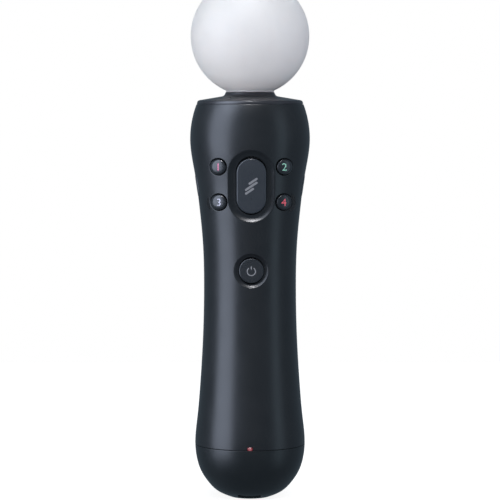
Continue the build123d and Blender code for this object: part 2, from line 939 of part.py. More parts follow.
def trigger_face():
    # Side view of the lever, in depth and height.
    head = (trigger_head_depth, trigger_head_height)
    belly = (trigger_belly_depth, trigger_belly_height)
    tip = (trigger_tip_depth, trigger_tip_height)
    foot = (trigger_tip_depth - trigger_skin, trigger_foot_height)
    front = Spline(head, belly, tip)
    heel = (trigger_skirt_depth, trigger_foot_height + trigger_skin)
    hinge_low = (trigger_pin_depth, trigger_pin_height - trigger_barrel_radius)
    hinge_high = (trigger_pin_depth, trigger_pin_height + trigger_barrel_radius)
    back = Polyline(tip, foot, heel, hinge_low, hinge_high, head)
    return make_face(front + back)


def trigger():
    # Curved lever with side walls, a barrel on its pin and a hood behind the slot's top edge.
    half = trigger_width / 2
    side = Plane(origin=(-half, 0, 0), x_dir=(0, 1, 0), z_dir=(1, 0, 0))
    lever = extrude(side * trigger_face(), trigger_width)
    barrel = Circle(trigger_barrel_radius)
    lever += along_x(barrel, -half, half, trigger_pin_depth, trigger_pin_height)
    outer_edges = lever.edges().filter_by(lambda e: e.center().Y > trigger_belly_depth - trigger_skin)
    outer_edges = outer_edges.filter_by(lambda e: abs(e.center().X) > half - screw_fit)
    outer_edges = outer_edges.sort_by(SortBy.LENGTH)[-2:]
    lever = fillet(outer_edges, trigger_edge_radius)
    inner = Plane(origin=(-half + trigger_side_wall, -trigger_skin, 0), x_dir=(0, 1, 0), z_dir=(1, 0, 0))
    room = extrude(inner * trigger_face(), trigger_width - 2 * trigger_side_wall)
    room += along_x(Circle(trigger_barrel_radius + trigger_skin), -half + trigger_side_wall,
                    half - trigger_side_wall, trigger_pin_depth, trigger_pin_height)
    lever -= room
    lever += trigger_hood()
    hole = Circle(trigger_pin_radius + trigger_pin_fit)
    return lever - along_x(hole, -half, half, trigger_pin_depth, trigger_pin_height)


def trigger_hood():
    # A strip about the pin's axis that stays behind the slot's top edge while the lever swings.
    half = trigger_width / 2
    inside = math.sqrt((radius_at(trigger_slot_top_height) - wall) ** 2 - half**2)
    corner = (inside - trigger_pin_depth, trigger_slot_top_height - trigger_pin_height)
    radius = math.hypot(*corner) - trigger_hood_gap
    strip = Circle(radius) - Circle(radius - trigger_hood_wall)
    rise = 2 * radius * math.tan(math.radians(trigger_hood_angle))
    wedge = make_face(Polyline((0, 0), (2 * radius, 0), (2 * radius, rise), (0, 0)))
    return along_x(strip & wedge, -half, half, trigger_pin_depth, trigger_pin_height)


def ear_reach():
    inner = trigger_width / 2 + ear_gap
    return inner, inner + ear_thickness


def trigger_pin():
    reach = ear_reach()[1]
    return along_x(Circle(trigger_pin_radius), -reach, reach, trigger_pin_depth, trigger_pin_height)


def trigger_bracket():
    # Cross plate between the shell bosses, with two ears for the pin.
    back = bracket_front_depth + bracket_thickness
    plate = block(
        (-bracket_half_width, bracket_front_depth, bracket_foot_height),
        (bracket_half_width, back, bracket_top_height),
    ) & grip(wall + board_margin)
    inner, outer = ear_reach()
    for side in (-1, 1):
        x0, x1 = sorted((side * inner, side * outer))
        ear = block(
            (x0, bracket_front_depth, trigger_pin_height - ear_half_height),
            (x1, trigger_pin_depth, trigger_pin_height + ear_half_height),
        )
        ear += along_x(Circle(ear_half_height), x0, x1, trigger_pin_depth, trigger_pin_height)
        plate += ear
        screw_hole = Circle(shell_screw_radius + screw_fit)
        plate -= along_y(screw_hole, side * upper_boss_side, upper_boss_height, 0, far)
    hole = Circle(trigger_pin_radius + trigger_pin_fit)
    return plate - along_x(hole, -outer, outer, trigger_pin_depth, trigger_pin_height)


def trigger_sensor():
    back = bracket_front_depth + bracket_thickness
    low = (-sensor_width / 2, back, bracket_foot_height)
    return block(low, (sensor_width / 2, back + sensor_thickness, bracket_foot_height + sensor_length))


def trigger_spring():
    # Torsion spring on the pin: a close coil.
    length = spring_turns * spring_pitch
    path = Helix(pitch=spring_pitch, height=length, radius=spring_coil_radius)
    start = Plane(origin=path @ 0, z_dir=path % 0)
    coil = sweep(start * Circle(spring_wire_radius), path, is_frenet=True)
    turned = Rot(0, 90, 0) * coil
    return Pos(-length / 2, trigger_pin_depth, trigger_pin_height) * turned


def parts():
    made = {
        "front_shell": front_shell(),
        "rear_shell": rear_shell(),
        "end_cap": end_cap(),
        "neck_collar": neck_collar(),
        "light_ball": light_ball(),
        "ball_retaining_ring": ball_retaining_ring(),
        "light_guide": light_guide(),
        "light_board": light_board(),
        "light_board_screws": light_board_screws(),
        "light_emitter": light_emitter(),
        "move_button": move_button(),
        "home_button": home_button(),
        "select_button": side_key(-1),
        "start_button": side_key(1),
        "key_mat": key_mat(),
        "home_pad": home_pad(),
        "side_domes": side_domes(),
        "side_switches": side_switches(),
        "main_board": main_board(),
        "board_screws": board_screws(),
        "status_lens": status_lens(),
        "status_led": status_led(),
        "shell_screws": shell_screws(),
        "battery": battery(),
        "battery_cradle": battery_cradle(),
        "battery_plug": battery_plug(),
        "rumble_motor": rumble_motor(),
        "motor_shaft": motor_shaft(),
        "rumble_weight": rumble_weight(),
        "motor_saddle": motor_saddle(),
        "trigger": trigger(),
        "trigger_pin": trigger_pin(),
        "trigger_bracket": trigger_bracket(),
        "trigger_spring": trigger_spring(),
        "trigger_sensor": trigger_sensor(),
        "port_board": port_board(),
        "port_board_screws": port_board_screws(),
        "usb_socket": socket(usb_width, usb_thickness, usb_depth),
        "extension_socket": socket(extension_width, extension_thickness, -extension_front),
        "charge_contacts": charge_contacts(),
        "strap_anchor": strap_anchor(),
    }
    for name, (x, z) in round_keys.items():
        made[name] = round_button(x, z)
    for name, sizes in chip_sizes.items():
        made[name] = chip(*sizes)
    return made


os.makedirs("parts", exist_ok=True)
for name, shape in parts().items():
    export_step(shape, f"parts/{name}.step")
    print(f"{name}: {len(shape.solids())} solids, {shape.volume:.1f} mm3")
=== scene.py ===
import json
import math

import bmesh
import bpy
import numpy as np
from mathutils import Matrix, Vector
from mathutils.geometry import delaunay_2d_cdt


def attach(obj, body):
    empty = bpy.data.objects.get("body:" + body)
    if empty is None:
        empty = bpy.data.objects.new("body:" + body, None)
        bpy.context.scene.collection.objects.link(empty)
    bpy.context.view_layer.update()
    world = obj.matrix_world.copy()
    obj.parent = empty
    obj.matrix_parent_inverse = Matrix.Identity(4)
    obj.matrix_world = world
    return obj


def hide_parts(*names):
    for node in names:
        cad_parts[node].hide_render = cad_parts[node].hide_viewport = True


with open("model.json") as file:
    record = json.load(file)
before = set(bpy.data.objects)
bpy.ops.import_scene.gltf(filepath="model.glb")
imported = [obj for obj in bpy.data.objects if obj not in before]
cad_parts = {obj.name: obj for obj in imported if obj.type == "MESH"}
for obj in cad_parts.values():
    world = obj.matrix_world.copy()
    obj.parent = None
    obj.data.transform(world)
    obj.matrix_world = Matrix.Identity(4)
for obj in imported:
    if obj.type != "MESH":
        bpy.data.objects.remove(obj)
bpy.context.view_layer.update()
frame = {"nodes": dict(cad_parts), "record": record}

mm = 0.001
print("frame loaded:", len(frame["nodes"]), "nodes")


# small helpers

def toLinear(hexColour):
    # sRGB hex to the linear values that the shaders take
    parts = [int(hexColour[i:i + 2], 16) / 255 for i in (1, 3, 5)]
    return [c / 12.92 if c <= 0.04045 else ((c + 0.055) / 1.055) ** 2.4 for c in parts] + [1.0]


def addNode(tree, kind, links=None, **settings):
    # adds a node, sets its properties and sockets, and links what feeds it
    made = tree.nodes.new(kind)
    sockets = settings.pop("sockets", {})
    for key, value in settings.items():
        setattr(made, key, value)
    for key, value in sockets.items():
        made.inputs[key].default_value = value
    for key, source in (links or {}).items():
        tree.links.new(source, made.inputs[key])
    return made


def putInScene(name, data):
    made = bpy.data.objects.new(name, data)
    bpy.context.scene.collection.objects.link(made)
    return made


# points nearer than this are merged, in mm, and edges sharper than this stay crisp, in degrees
weld = {"usual": 0.004, "lathe": 0.002, "fine": 0.001, "sliver": 0.0005}
crisp = {"usual": 32.0, "turned": 35.0, "key": 40.0, "lever": 40.0, "screw": 30.0}


def cleanMesh(data, weldMm, angle, sliverMm=0.0, recalc=False, added=None):
    # merges doubles, turns the winding outwards by the signed volume and sets the shading
    work = bmesh.new()
    work.from_mesh(data)
    if added:
        work.from_mesh(added)
    bmesh.ops.remove_doubles(work, verts=work.verts, dist=weldMm * mm)
    if sliverMm:
        bmesh.ops.dissolve_degenerate(work, edges=work.edges, dist=sliverMm * mm)
    if recalc:
        bmesh.ops.recalc_face_normals(work, faces=work.faces)
    if work.calc_volume(signed=True) < 0:
        bmesh.ops.reverse_faces(work, faces=work.faces)
    work.to_mesh(data)
    work.free()
    data.polygons.foreach_set("use_smooth", [True] * len(data.polygons))
    data.set_sharp_from_angle(angle=math.radians(angle))
    data.update()


def meshObject(name, vertices, faces, angle=crisp["usual"]):
    # vertices in millimetres
    data = bpy.data.meshes.new(name)
    data.from_pydata([tuple(v) for v in np.asarray(vertices) * mm], [], [tuple(map(int, f)) for f in faces])
    cleanMesh(data, weld["usual"], angle, weld["sliver"])
    return putInScene(name, data)


def dress(piece, body, slot, *nodes, finish=None):
    piece.data.materials.clear()
    piece.data.materials.append(finish or materials[slot])
    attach(piece, body)
    if nodes:
        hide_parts(*nodes)


# materials

def plainSurface(name, colour, **settings):
    material = bpy.data.materials.new(name)
    material.use_nodes = True
    tree = material.node_tree
    shader = tree.nodes["Principled BSDF"]
    shader.inputs["Base Color"].default_value = toLinear(colour)
    for key, value in settings.items():
        shader.inputs[key.replace("_", " ")].default_value = value
    return material, tree, shader


noises = {"grain": {"Detail": 3.0, "Roughness": 0.6}, "mottle": {"Detail": 4.0, "Roughness": 0.55},
          "range": {"From Min": 0.3, "From Max": 0.7}}


def makeFinish(name, colour, surface, grainMm, depthMicrons, roughness, spread, mottleMm=9.0, *tones):
    # surface is an IOR or "metal"; moulded grain as bump, and a slow change of roughness and tone
    settings = {"Metallic": 1.0} if surface == "metal" else {"IOR": surface}
    material, tree, shader = plainSurface(name, colour, **settings)
    place = addNode(tree, "ShaderNodeTexCoord").outputs["Object"]
    grain = addNode(tree, "ShaderNodeTexNoise", {"Vector": place},
                    sockets={"Scale": 1 / (grainMm * mm), **noises["grain"]})
    bump = addNode(tree, "ShaderNodeBump", {"Height": grain.outputs["Fac"]},
                   sockets={"Strength": 1.0, "Distance": depthMicrons * mm * mm})
    tree.links.new(bump.outputs["Normal"], shader.inputs["Normal"])
    mottle = addNode(tree, "ShaderNodeTexNoise", {"Vector": place},
                     sockets={"Scale": 1 / (mottleMm * mm), **noises["mottle"]}).outputs["Fac"]
    shine = addNode(tree, "ShaderNodeMapRange", {"Value": mottle},
                    sockets={**noises["range"], "To Min": roughness - spread, "To Max": roughness + spread})
    tree.links.new(shine.outputs["Result"], shader.inputs["Roughness"])
    if tones:
        tone = addNode(tree, "ShaderNodeMix", {"Factor": mottle}, data_type="RGBA")
        tone.inputs["A"].default_value, tone.inputs["B"].default_value = map(toLinear, tones)
        tree.links.new(tone.outputs["Result"], shader.inputs["Base Color"])
    return material


finishes = {
    # name, colour, IOR or metal, grain in mm, its depth in microns, roughness and its spread,
    # and where the colour is mottled, the mottle in mm and its two tones
    # dark ABS, moulded in a finely sparked tool: satin, so lights spread into soft bands
    "shell_plastic": ("mouldedSatinAbs", "#1b1d22", 1.53, 0.35, 1.2, 0.34, 0.03, 9, "#13161a", "#181b1f"),
    # the same ABS in the end cap, a touch greener, and painted darker to stand in for the shade on its
    # downward-facing foot
    "endCap": ("capAbsPaintedShade", "#15191c", 1.53, 0.35, 1.2, 0.36, 0.03, 9, "#101417", "#15191d"),
    # polished ABS, whose rim throws back a small bright spot
    "collar_plastic": ("polishedCollarAbs", "#23252b", 1.53, 0.5, 0.6, 0.3, 0.03, 9, "#212329", "#27292f"),
    # polished polycarbonate: clear lights and dark sides
    "key_plastic": ("polishedKeyPolycarbonate", "#1a1e23", 1.58, 0.5, 0.5, 0.29, 0.03, 9, "#191d22",
                    "#1f2329"),
    # the same plastic, slightly duller on the long key's face, and painted paler there to stand in for the
    # light its flat face catches
    "longKeyPaintedLight": ("satinKeyPolycarbonatePaintedLight", "#252a31", 1.58, 0.5, 0.5, 0.31, 0.03, 9, "#242a32", "#2a3038"),
    # ABS with a fine matt texture for grip
    "trigger_plastic": ("texturedTriggerAbs", "#1a1c20", 1.53, 0.3, 2, 0.42, 0.04, 9, "#181a1e", "#1e2024"),
    # matt black ABS of the inner carriers
    "black_plastic": ("mattInnerAbs", "#141416", 1.53, 0.4, 3, 0.55, 0.05),
    # soft rubber skin, matt white
    "ball_rubber": ("softWhiteBallRubber", "#ececf0", 1.45, 0.25, 0.8, 0.55, 0.04, 9, "#ebebef", "#f0f0f3"),
    # silicone rubber of the key mat, matt and milky
    "silicone": ("milkySilicone", "#b4b6b8", 1.43, 0.6, 2, 0.5, 0.05),
    # cast acrylic of the light guide and the small lamps
    "clear_plastic": ("clearAcrylic", "#f2f4f7", 1.49, 1.0, 0.5, 0.08, 0.02),
    "red_lens": ("litRedAcrylic", "#60181f", 1.49, 0.8, 0.5, 0.2, 0.03, 9, "#5a161e", "#681a24"),
    # glass fibre under green solder mask, with a faint weave
    "circuit_board": ("greenSolderMask", "#1d5a34", 1.5, 0.8, 4, 0.3, 0.05, 2.5, "#174b2b", "#24683e"),
    # plated steel of screws, motor can and socket shells
    "screw_steel": ("nickelPlatedSteel", "#b9babd", "metal", 0.4, 1.2, 0.3, 0.06),
    "spring_steel": ("drawnSpringSteel", "#8f9093", "metal", 0.3, 1, 0.34, 0.05),
    # dull and grainy
    "weight_metal": ("sinteredTungsten", "#8a847a", "metal", 0.35, 6, 0.5, 0.06),
    "contact_brass": ("goldPlatedBrass", "#c9a45a", "metal", 0.5, 1, 0.26, 0.05),
    # shrink film round the cell
    "cell_wrap": ("greyShrinkFilm", "#6c7682", 1.5, 1.2, 10, 0.3, 0.06, 6.0, "#636d79", "#76808c"),
}
throughLight = {
    # light goes a little way into the ball, and through the clear acrylic; the red one is lit from behind
    "ball_rubber": {"Subsurface Weight": 0.8, "Subsurface Radius": (1.0, 0.9, 0.85),
                    "Subsurface Scale": 9.0 * mm},
    "clear_plastic": {"Transmission Weight": 0.85},
    "red_lens": {"Emission Strength": 0.42},
}
materials = {key: makeFinish(*row) for key, row in finishes.items()}
for key, sockets in throughLight.items():
    tree = materials[key].node_tree
    shader = tree.nodes["Principled BSDF"]
    for socket, value in sockets.items():
        shader.inputs[socket].default_value = value
# the lamp behind the red lens shows as a pale pink middle that darkens to the ends
lensGlow = {"middle": (0.0, -21.2 * mm, 21.15 * mm), "from": 0.15 * mm, "to": 0.95 * mm,
            "tones": ("#dc949c", "#5a1c24")}
away = addNode(tree, "ShaderNodeVectorMath", {0: addNode(tree, "ShaderNodeTexCoord").outputs["Object"]},
               operation="DISTANCE", sockets={1: lensGlow["middle"]})
fade = addNode(tree, "ShaderNodeMapRange", {"Value": away.outputs["Value"]},
               sockets={"From Min": lensGlow["from"], "From Max": lensGlow["to"]})
glow = addNode(tree, "ShaderNodeMix", {"Factor": fade.outputs["Result"]}, data_type="RGBA")
glow.inputs["A"].default_value, glow.inputs["B"].default_value = map(toLinear, lensGlow["tones"])
tree.links.new(glow.outputs["Result"], shader.inputs["Emission Color"])

# pad-printed ink under the key's clear coat: flat colour, soft gloss
inkColours = {"pink": "#c56a93", "green": "#8cc7b4", "lavender": "#b1b7cf", "red": "#cf5a69",
              "grey": "#70757d"}
inks = {ink: makeFinish("keyInk_" + ink, colour, 1.5, 0.4, 0.4, 0.35, 0.03)
        for ink, colour in inkColours.items()}

for row in frame["record"]["subparts"]:
    node = bpy.data.objects.get(row["node"])
    if node:
        node.data.materials.clear()
        node.data.materials.append(materials[row["material_slot"]])
print("materials made")


# the grip's outline, turned about Z

gripShape = {
    # radius and height of the outline, in mm
    "outline": ((7.8, 0.0), (13.06, 2.494), (16.472, 5.999), (18.995, 9.998), (20.606, 15.007),
                (21.2, 21.5), (20.347, 30.901), (19.213, 43.813), (18.19, 60.651), (17.72, 81.0),
                (18.178, 98.656), (19.535, 112.781), (20.85, 122.867), (22.133, 129.929),
                (22.98, 137.5), (22.509, 144.003), (21.489, 148.516), (20.34, 151.806), (19.9, 152.8)),
    "wall": 2.0, "split": 4.0, "gap": 0.10, "capSeam": 20.4, "collarSeam": 151.4,
    "seamRound": 0.16, "collarGap": 0.04, "mesh": 1.25, "flatRadius": 20.0,
    "footSteps": 200, "steps": 3000, "capSteps": 1200, "softSteps": 20,
}
seamSteps = (0.0, 0.05, 0.1, 0.16, 0.4)     # mesh lines beside a seam
capRings = {"below": (*seamSteps, 0.9), "count": 120, "foot": (7.8, 8.6), "footCount": 60}
skinRules = {
    # in mm: how near the mesh grid comes to a seam, a loop or a sunk floor, the least wall under a dish,
    # a sunk floor's wall and reach, a boss's reach, where a straight wall ends and how long it eases, and
    # the slack at a rim and at a floor's edge
    "seamClear": 0.75, "loopClear": 0.45, "floorClear": 0.6, "underDish": 1.0, "floorWall": 1.5,
    "floorReach": 0.9, "bossReach": 1.31, "easeEnd": 3.0, "easeRun": 2.0, "slack": 0.004, "floorEdge": 0.01,
    "footTop": 12.0,    # no opening of the foot reaches higher
    "nowhere": 999.0,
    "dishEnd": 1.35,    # as a share of the dish's width
}


def smoothLine(points, steps):
    # natural cubic spline through the points, by chord length
    p = np.array(points, float)
    t = np.concatenate([[0.0], np.cumsum(np.hypot(*np.diff(p, axis=0).T))])
    h, count = np.diff(t), len(t)
    left, right = np.eye(count), np.zeros((count, 2))
    for i in range(1, count - 1):
        left[i, i - 1:i + 2] = h[i - 1], 2 * (h[i - 1] + h[i]), h[i]
        right[i] = 6 * ((p[i + 1] - p[i]) / h[i] - (p[i] - p[i - 1]) / h[i - 1])
    bend = np.linalg.solve(left, right)
    s = np.linspace(0, t[-1], steps)
    k = np.clip(np.searchsorted(t, s, side="right") - 1, 0, count - 2)
    up, step = (s - t[k])[:, None], h[k][:, None]
    down = step - up
    return ((bend[k] * down ** 3 + bend[k + 1] * up ** 3) / (6 * step)
            + (p[k] / step - bend[k] * step / 6) * down + (p[k + 1] / step - bend[k + 1] * step / 6) * up)


line = smoothLine(gripShape["outline"], gripShape["steps"])
footSteps = gripShape["footSteps"]
foot = np.stack([np.linspace(0, line[0, 0], footSteps, endpoint=False), np.zeros(footSteps)], axis=1)
line = np.concatenate([foot, line])
lineR, lineZ = line[:, 0], line[:, 1]
lineS = np.concatenate([[0.0], np.cumsum(np.hypot(np.diff(lineR), np.diff(lineZ)))])
tangentR, tangentZ = np.gradient(lineR, lineS), np.gradient(lineZ, lineS)
softSteps = gripShape["softSteps"]      # rounds the foot's edge in the normals
soft = np.full(2 * softSteps + 1, 1 / (2 * softSteps + 1))
normalR, normalZ = (np.convolve(np.pad(v, softSteps, "edge"), soft, "valid") for v in (tangentZ, -tangentR))
normalLength = np.hypot(normalR, normalZ)
normalR, normalZ = normalR / normalLength, normalZ / normalLength
climbZ = lineZ + lineS * 1e-9   # strictly rising copy for lookups by height


def radiusAt(z):
    return np.interp(z, climbZ, lineR)


def runAt(z):
    return np.interp(z, climbZ, lineS)


def skinAt(run, x, y):
    # point and normal of the surface at a run along the outline, towards the unit direction x, y
    r, z, out, up = (np.interp(run, lineS, v) for v in (lineR, lineZ, normalR, normalZ))
    return np.stack([r * x, r * y, z], axis=1), np.stack([out * x, out * y, up], axis=1)


# openings, each an oblong with round corners seen along its own axis

def oblongLoop(opening, grow, spacing=0.5, count=None):
    # even steps round the rim, from the foot of its right side and up
    corner = max(opening["corner"] + grow, 0.0)
    flat = np.array([half + grow - corner for half in opening["half"]])
    arc = math.pi / 2 * corner
    ends = np.cumsum([0.0] + [2 * flat[1], arc, 2 * flat[0], arc] * 2)
    count = count or max(16, int(ends[-1] / spacing))
    at = ends[-1] * np.arange(count) / count
    part = np.minimum(np.searchsorted(ends[1:], at), 7)
    into, side, onArc = at - ends[part], part // 2, part % 2 == 1
    along = flat[1 - side % 2]
    turn = np.where(onArc, into / max(corner, 1e-9), 0.0)
    u = flat[side % 2] + corner * np.cos(turn)
    v = np.where(onArc, 2 * along, into) - along + corner * np.sin(turn)
    c, s = np.array((1, 0, -1, 0))[side], np.array((0, 1, 0, -1))[side]
    return np.stack([u * c - v * s, u * s + v * c], axis=1) + opening["centre"]


def onSurface(face, a, b):
    # a loop's own two coordinates to a point on the grip
    if face == "foot":
        r = np.hypot(a, b)
        return np.stack([a, b, np.interp(r, lineR[:gripShape["steps"]], lineZ[:gripShape["steps"]])], axis=1)
    r = radiusAt(b)
    other = np.sqrt(np.maximum(r ** 2 - a ** 2, 0))
    if face in ("front", "back"):
        return np.stack([a, other * (-1 if face == "front" else 1), b], axis=1)
    return np.stack([other * (-1 if face == "left" else 1), a, b], axis=1)


def rimDistance(opening, points):
    # signed distance to the opening's rim, seen along its axis; points on the far side are sent far away
    x, y, z = points.T
    a, b, far = {"front": (x, z, y > 0), "back": (x, z, y < 0), "left": (y, z, x > 0),
                 "right": (y, z, x < 0), "foot": (x, y, z > skinRules["footTop"])}[opening["face"]]
    corner = opening["corner"]
    qa, qb = (np.abs(np.where(far, skinRules["nowhere"], v) - centre) - (half - corner)
              for v, centre, half in zip((a, b), opening["centre"], opening["half"]))
    return np.hypot(np.maximum(qa, 0), np.maximum(qb, 0)) + np.minimum(np.maximum(qa, qb), 0) - corner


def edgeDrop(distance, radius):
    # how far a rounded edge has fallen at a distance from the edge line
    d = np.clip(distance, 0, radius)
    return radius - np.sqrt(np.maximum(radius ** 2 - (radius - d) ** 2, 0))


def buildSkin(name, toFlat, toBase, border, openings, seamDistance):
    # a moulded wall: the grip's surface cut by its openings, with dishes, wells and rounded edges
    points, edges, spacing = [], [], gripShape["mesh"]

    def addLoop(flat):
        first = len(points)
        points.extend(Vector(p) for p in flat)
        edges.extend((first + i, first + (i + 1) % len(flat)) for i in range(len(flat)))

    for loop in border:
        addLoop(loop)
    for opening in openings:
        for grow in opening["loops"]:
            loop = oblongLoop(opening, grow, opening.get("spacing", 0.5))
            addLoop(toFlat(onSurface(opening["face"], loop[:, 0], loop[:, 1])))
    low, high = np.min([tuple(p) for p in points], axis=0), np.max([tuple(p) for p in points], axis=0)
    grid = np.stack(np.meshgrid(np.arange(low[0] + spacing / 2, high[0], spacing),
                                np.arange(low[1] + spacing / 2, high[1], spacing)), axis=-1).reshape(-1, 2)
    base = toBase(grid)[0]
    keep = seamDistance(grid, base) > skinRules["seamClear"]
    for opening in openings:
        distance = rimDistance(opening, base)
        keep &= distance > max(opening["loops"]) + skinRules["loopClear"]
        if opening.get("floor") is not None:
            keep |= distance < min(opening["loops"]) - skinRules["floorClear"]
    points.extend(Vector(p) for p in grid[keep])
    flat, _, faces = delaunay_2d_cdt(points, edges, [], 0, 1e-5)[:3]
    flat = np.array([tuple(p) for p in flat])
    faces = np.array([f for f in faces if len(f) == 3])
    middle = flat[faces].mean(axis=1)
    base = toBase(middle)[0]
    keep = seamDistance(middle, base) > 0
    for opening in openings:
        if opening.get("floor") is None:
            keep &= rimDistance(opening, base) > -skinRules["slack"]
    used, faces = np.unique(faces[keep], return_inverse=True)
    faces, flat = faces.reshape(-1, 3), flat[used]

    base, normal = toBase(flat)
    seam = np.maximum(seamDistance(flat, base), 0)
    depth = edgeDrop(seam, gripShape["seamRound"])
    innerDepth = np.full(len(flat), gripShape["wall"])
    settings = []
    for opening in openings:
        distance = rimDistance(opening, base)
        settings.append((opening, distance))
        if "dish" in opening:
            dishDepth, dishWidth, power, melt = opening["dish"]
            t = np.maximum(distance, 0) / dishWidth
            bowl = dishDepth * (1 - t ** power)
            # the outer edge melts into the grip over a short soft band
            bowl = 0.5 * (bowl + np.sqrt(bowl ** 2 + melt ** 2)) - 0.5 * melt * np.clip(t - 1, 0, 1)
            end = skinRules["dishEnd"]
            bowl = np.where(t > end, 0, bowl * np.clip((end - t) / (end - 1), 0, 1) ** 0.5)
            depth = np.maximum(depth, bowl)
            innerDepth = np.maximum(innerDepth, bowl + skinRules["underDish"])
        depth = depth + edgeDrop(np.maximum(distance, 0), opening["round"]) * (distance < opening["round"])
    outer = base - normal * depth[:, None]
    inner = base - normal * innerDepth[:, None]
    for opening, distance in settings:
        axis = {"front": 1, "back": 1, "left": 0, "right": 0, "foot": 2}[opening["face"]]
        if opening.get("floor") is not None:
            outer[:, axis] = np.where(distance < -skinRules["floorEdge"], opening["floor"], outer[:, axis])
            inner[:, axis] = np.where(distance < skinRules["floorReach"],
                                      opening["floor"] - skinRules["floorWall"], inner[:, axis])
        if opening.get("straight"):
            # the wall runs straight in along the opening's axis and eases into the inner skin
            level = outer.copy()
            level[:, axis] -= opening["straight"]
            ease = np.clip((skinRules["easeEnd"] - distance) / skinRules["easeRun"], 0, 1)[:, None]
            inner = inner + (level - inner) * ease
        if opening.get("boss") is not None:
            near = distance < skinRules["bossReach"]
            for k in range(3):
                value = opening["boss"] if k == axis else outer[:, k]
                inner[:, k] = np.where(near, value, inner[:, k])
    count = len(outer)
    directed = dict.fromkeys((f[i], f[(i + 1) % 3]) for f in faces for i in range(3))
    walls = [(b, a, a + count, b + count) for a, b in directed if (b, a) not in directed]
    allFaces = [tuple(f) for f in faces] + [tuple(f[::-1] + count) for f in faces] + walls
    return meshObject(name, np.concatenate([outer, inner]), allFaces)


def shellMaps(side, splitY, lowZ, highZ):
    # side -1 is the front shell, 1 the rear; a flat map where the split plane is straight
    def splitAngle(z):
        return np.arccos(np.clip(side * splitY / radiusAt(z), -1, 1))

    def toFlat(points):
        x, y, z = points.T
        return np.stack([np.arctan2(x, side * y) / splitAngle(z) * width, z], axis=1)

    def toBase(flat):
        z = np.clip(flat[:, 1], lowZ, highZ)
        angle = flat[:, 0] / width * splitAngle(z)
        return skinAt(runAt(z), np.sin(angle), side * np.cos(angle))

    width = gripShape["flatRadius"] * math.acos(side * splitY / gripShape["flatRadius"])
    return toFlat, toBase, width


def borderLines(corners, spacing):
    loop = []
    for (a0, b0), (a1, b1) in zip(corners, corners[1:] + corners[:1]):
        count = max(1, round(math.hypot(a1 - a0, b1 - b0) / spacing))
        loop += [(a0 + (a1 - a0) * k / count, b0 + (b1 - b0) * k / count) for k in range(count)]
    return loop


def makeShell(name, side, splitY, openings, notch=None):
    lowZ = gripShape["capSeam"] + gripShape["gap"]
    highZ = gripShape["collarSeam"] - gripShape["collarGap"]
    toFlat, toBase, width = shellMaps(side, splitY, lowZ, highZ)
    if notch:
        cutA = notch["half"] / notch["radius"] / math.acos(side * splitY / notch["radius"]) * width
        cutB = notch["top"]

    def seamDistance(flat, base):
        across = width - np.abs(flat[:, 0])
        distance = np.minimum(np.minimum(across, flat[:, 1] - lowZ), highZ - flat[:, 1])
        if notch:
            outside = np.maximum(np.abs(flat[:, 0]) - cutA, flat[:, 1] - cutB)
            distance = np.where(outside < 0, outside, distance)
        return distance

    border = []
    for inset in seamSteps:
        a, low, high = width - inset, lowZ + inset, highZ - inset
        corners = [(-a, low), (a, low), (a, high), (-a, high)]
        if notch:
            spare = notch["spare"] if inset else 0
            wide, top = cutA + spare, cutB + spare
            corners[1:1] = [(-wide, low), (-wide, top), (wide, top), (wide, low)] if low < top else []
        border.append(borderLines(corners, gripShape["mesh"]))
    return buildSkin(name, toFlat, toBase, border, openings, seamDistance)


keyCentres = {
    # across the front and up, in mm; for the side keys depth and up
    "move": (0.5, 120.6), "home": (0.5, 88.5), "upper_left": (-12.0, 127.8), "upper_right": (13.0, 127.8),
    "lower_left": (-11.8, 114.4), "lower_right": (12.8, 114.4),
    "side_left": (-2.5, 120.0), "side_right": (-2.5, 120.0),
}
holeKinds = {
    # a dish has its depth, width, power and how softly its outer edge melts into the grip
    "move": {"half": (6.15, 11.0), "corner": 6.15, "round": 0.25, "boss": -12.3,
             "dish": (1.5, 2.6, 1.9, 0.10),
             "loops": (0, .06, .12, .18, .25, .5, .9, 1.3, 1.7, 2.05, 2.3, 2.45, 2.55, 2.65, 2.8, 3.0, 3.3)},
    "home": {"half": (5.1, 5.1), "corner": 5.1, "round": 0.22, "dish": (1.0, 1.4, 1.8, 0.08), "boss": -12.3,
             "loops": (0, .06, .12, .18, .25, .5, .8, 1.05, 1.25, 1.35, 1.45, 1.6, 1.85)},
    "round": {"half": (3.27, 3.27), "corner": 3.27, "round": 0.2, "boss": -12.3, "spacing": 0.35,
              "loops": (0, .05, .1, .15, .2, .4, .8, 1.3)},
    "side": {"half": (2.34, 4.44), "corner": 2.34, "round": 0.12, "spacing": 0.4,
             "loops": (0, .04, .08, .12, .2, .4, .8)},
}


def keyKind(place):
    # the kind of a key and the face of the grip that it is on
    first, last = (place + "_front").split("_")[:2]
    if first == "side":
        return "side", last
    return (first, "front") if first in holeKinds else ("round", "front")


keyOpenings = []
for place, centre in keyCentres.items():
    kind, face = keyKind(place)
    keyOpenings.append({"face": face, "centre": centre, **holeKinds[kind]})
lensNotch = {"half": 1.15, "top": 21.85, "radius": 21.2, "spare": 0.02}
frontShell = makeShell("frontShell", -1, gripShape["split"] - gripShape["gap"], keyOpenings, lensNotch)
dress(frontShell, "housing", "shell_plastic", "front_shell")
print("front shell:", len(frontShell.data.polygons), "faces")

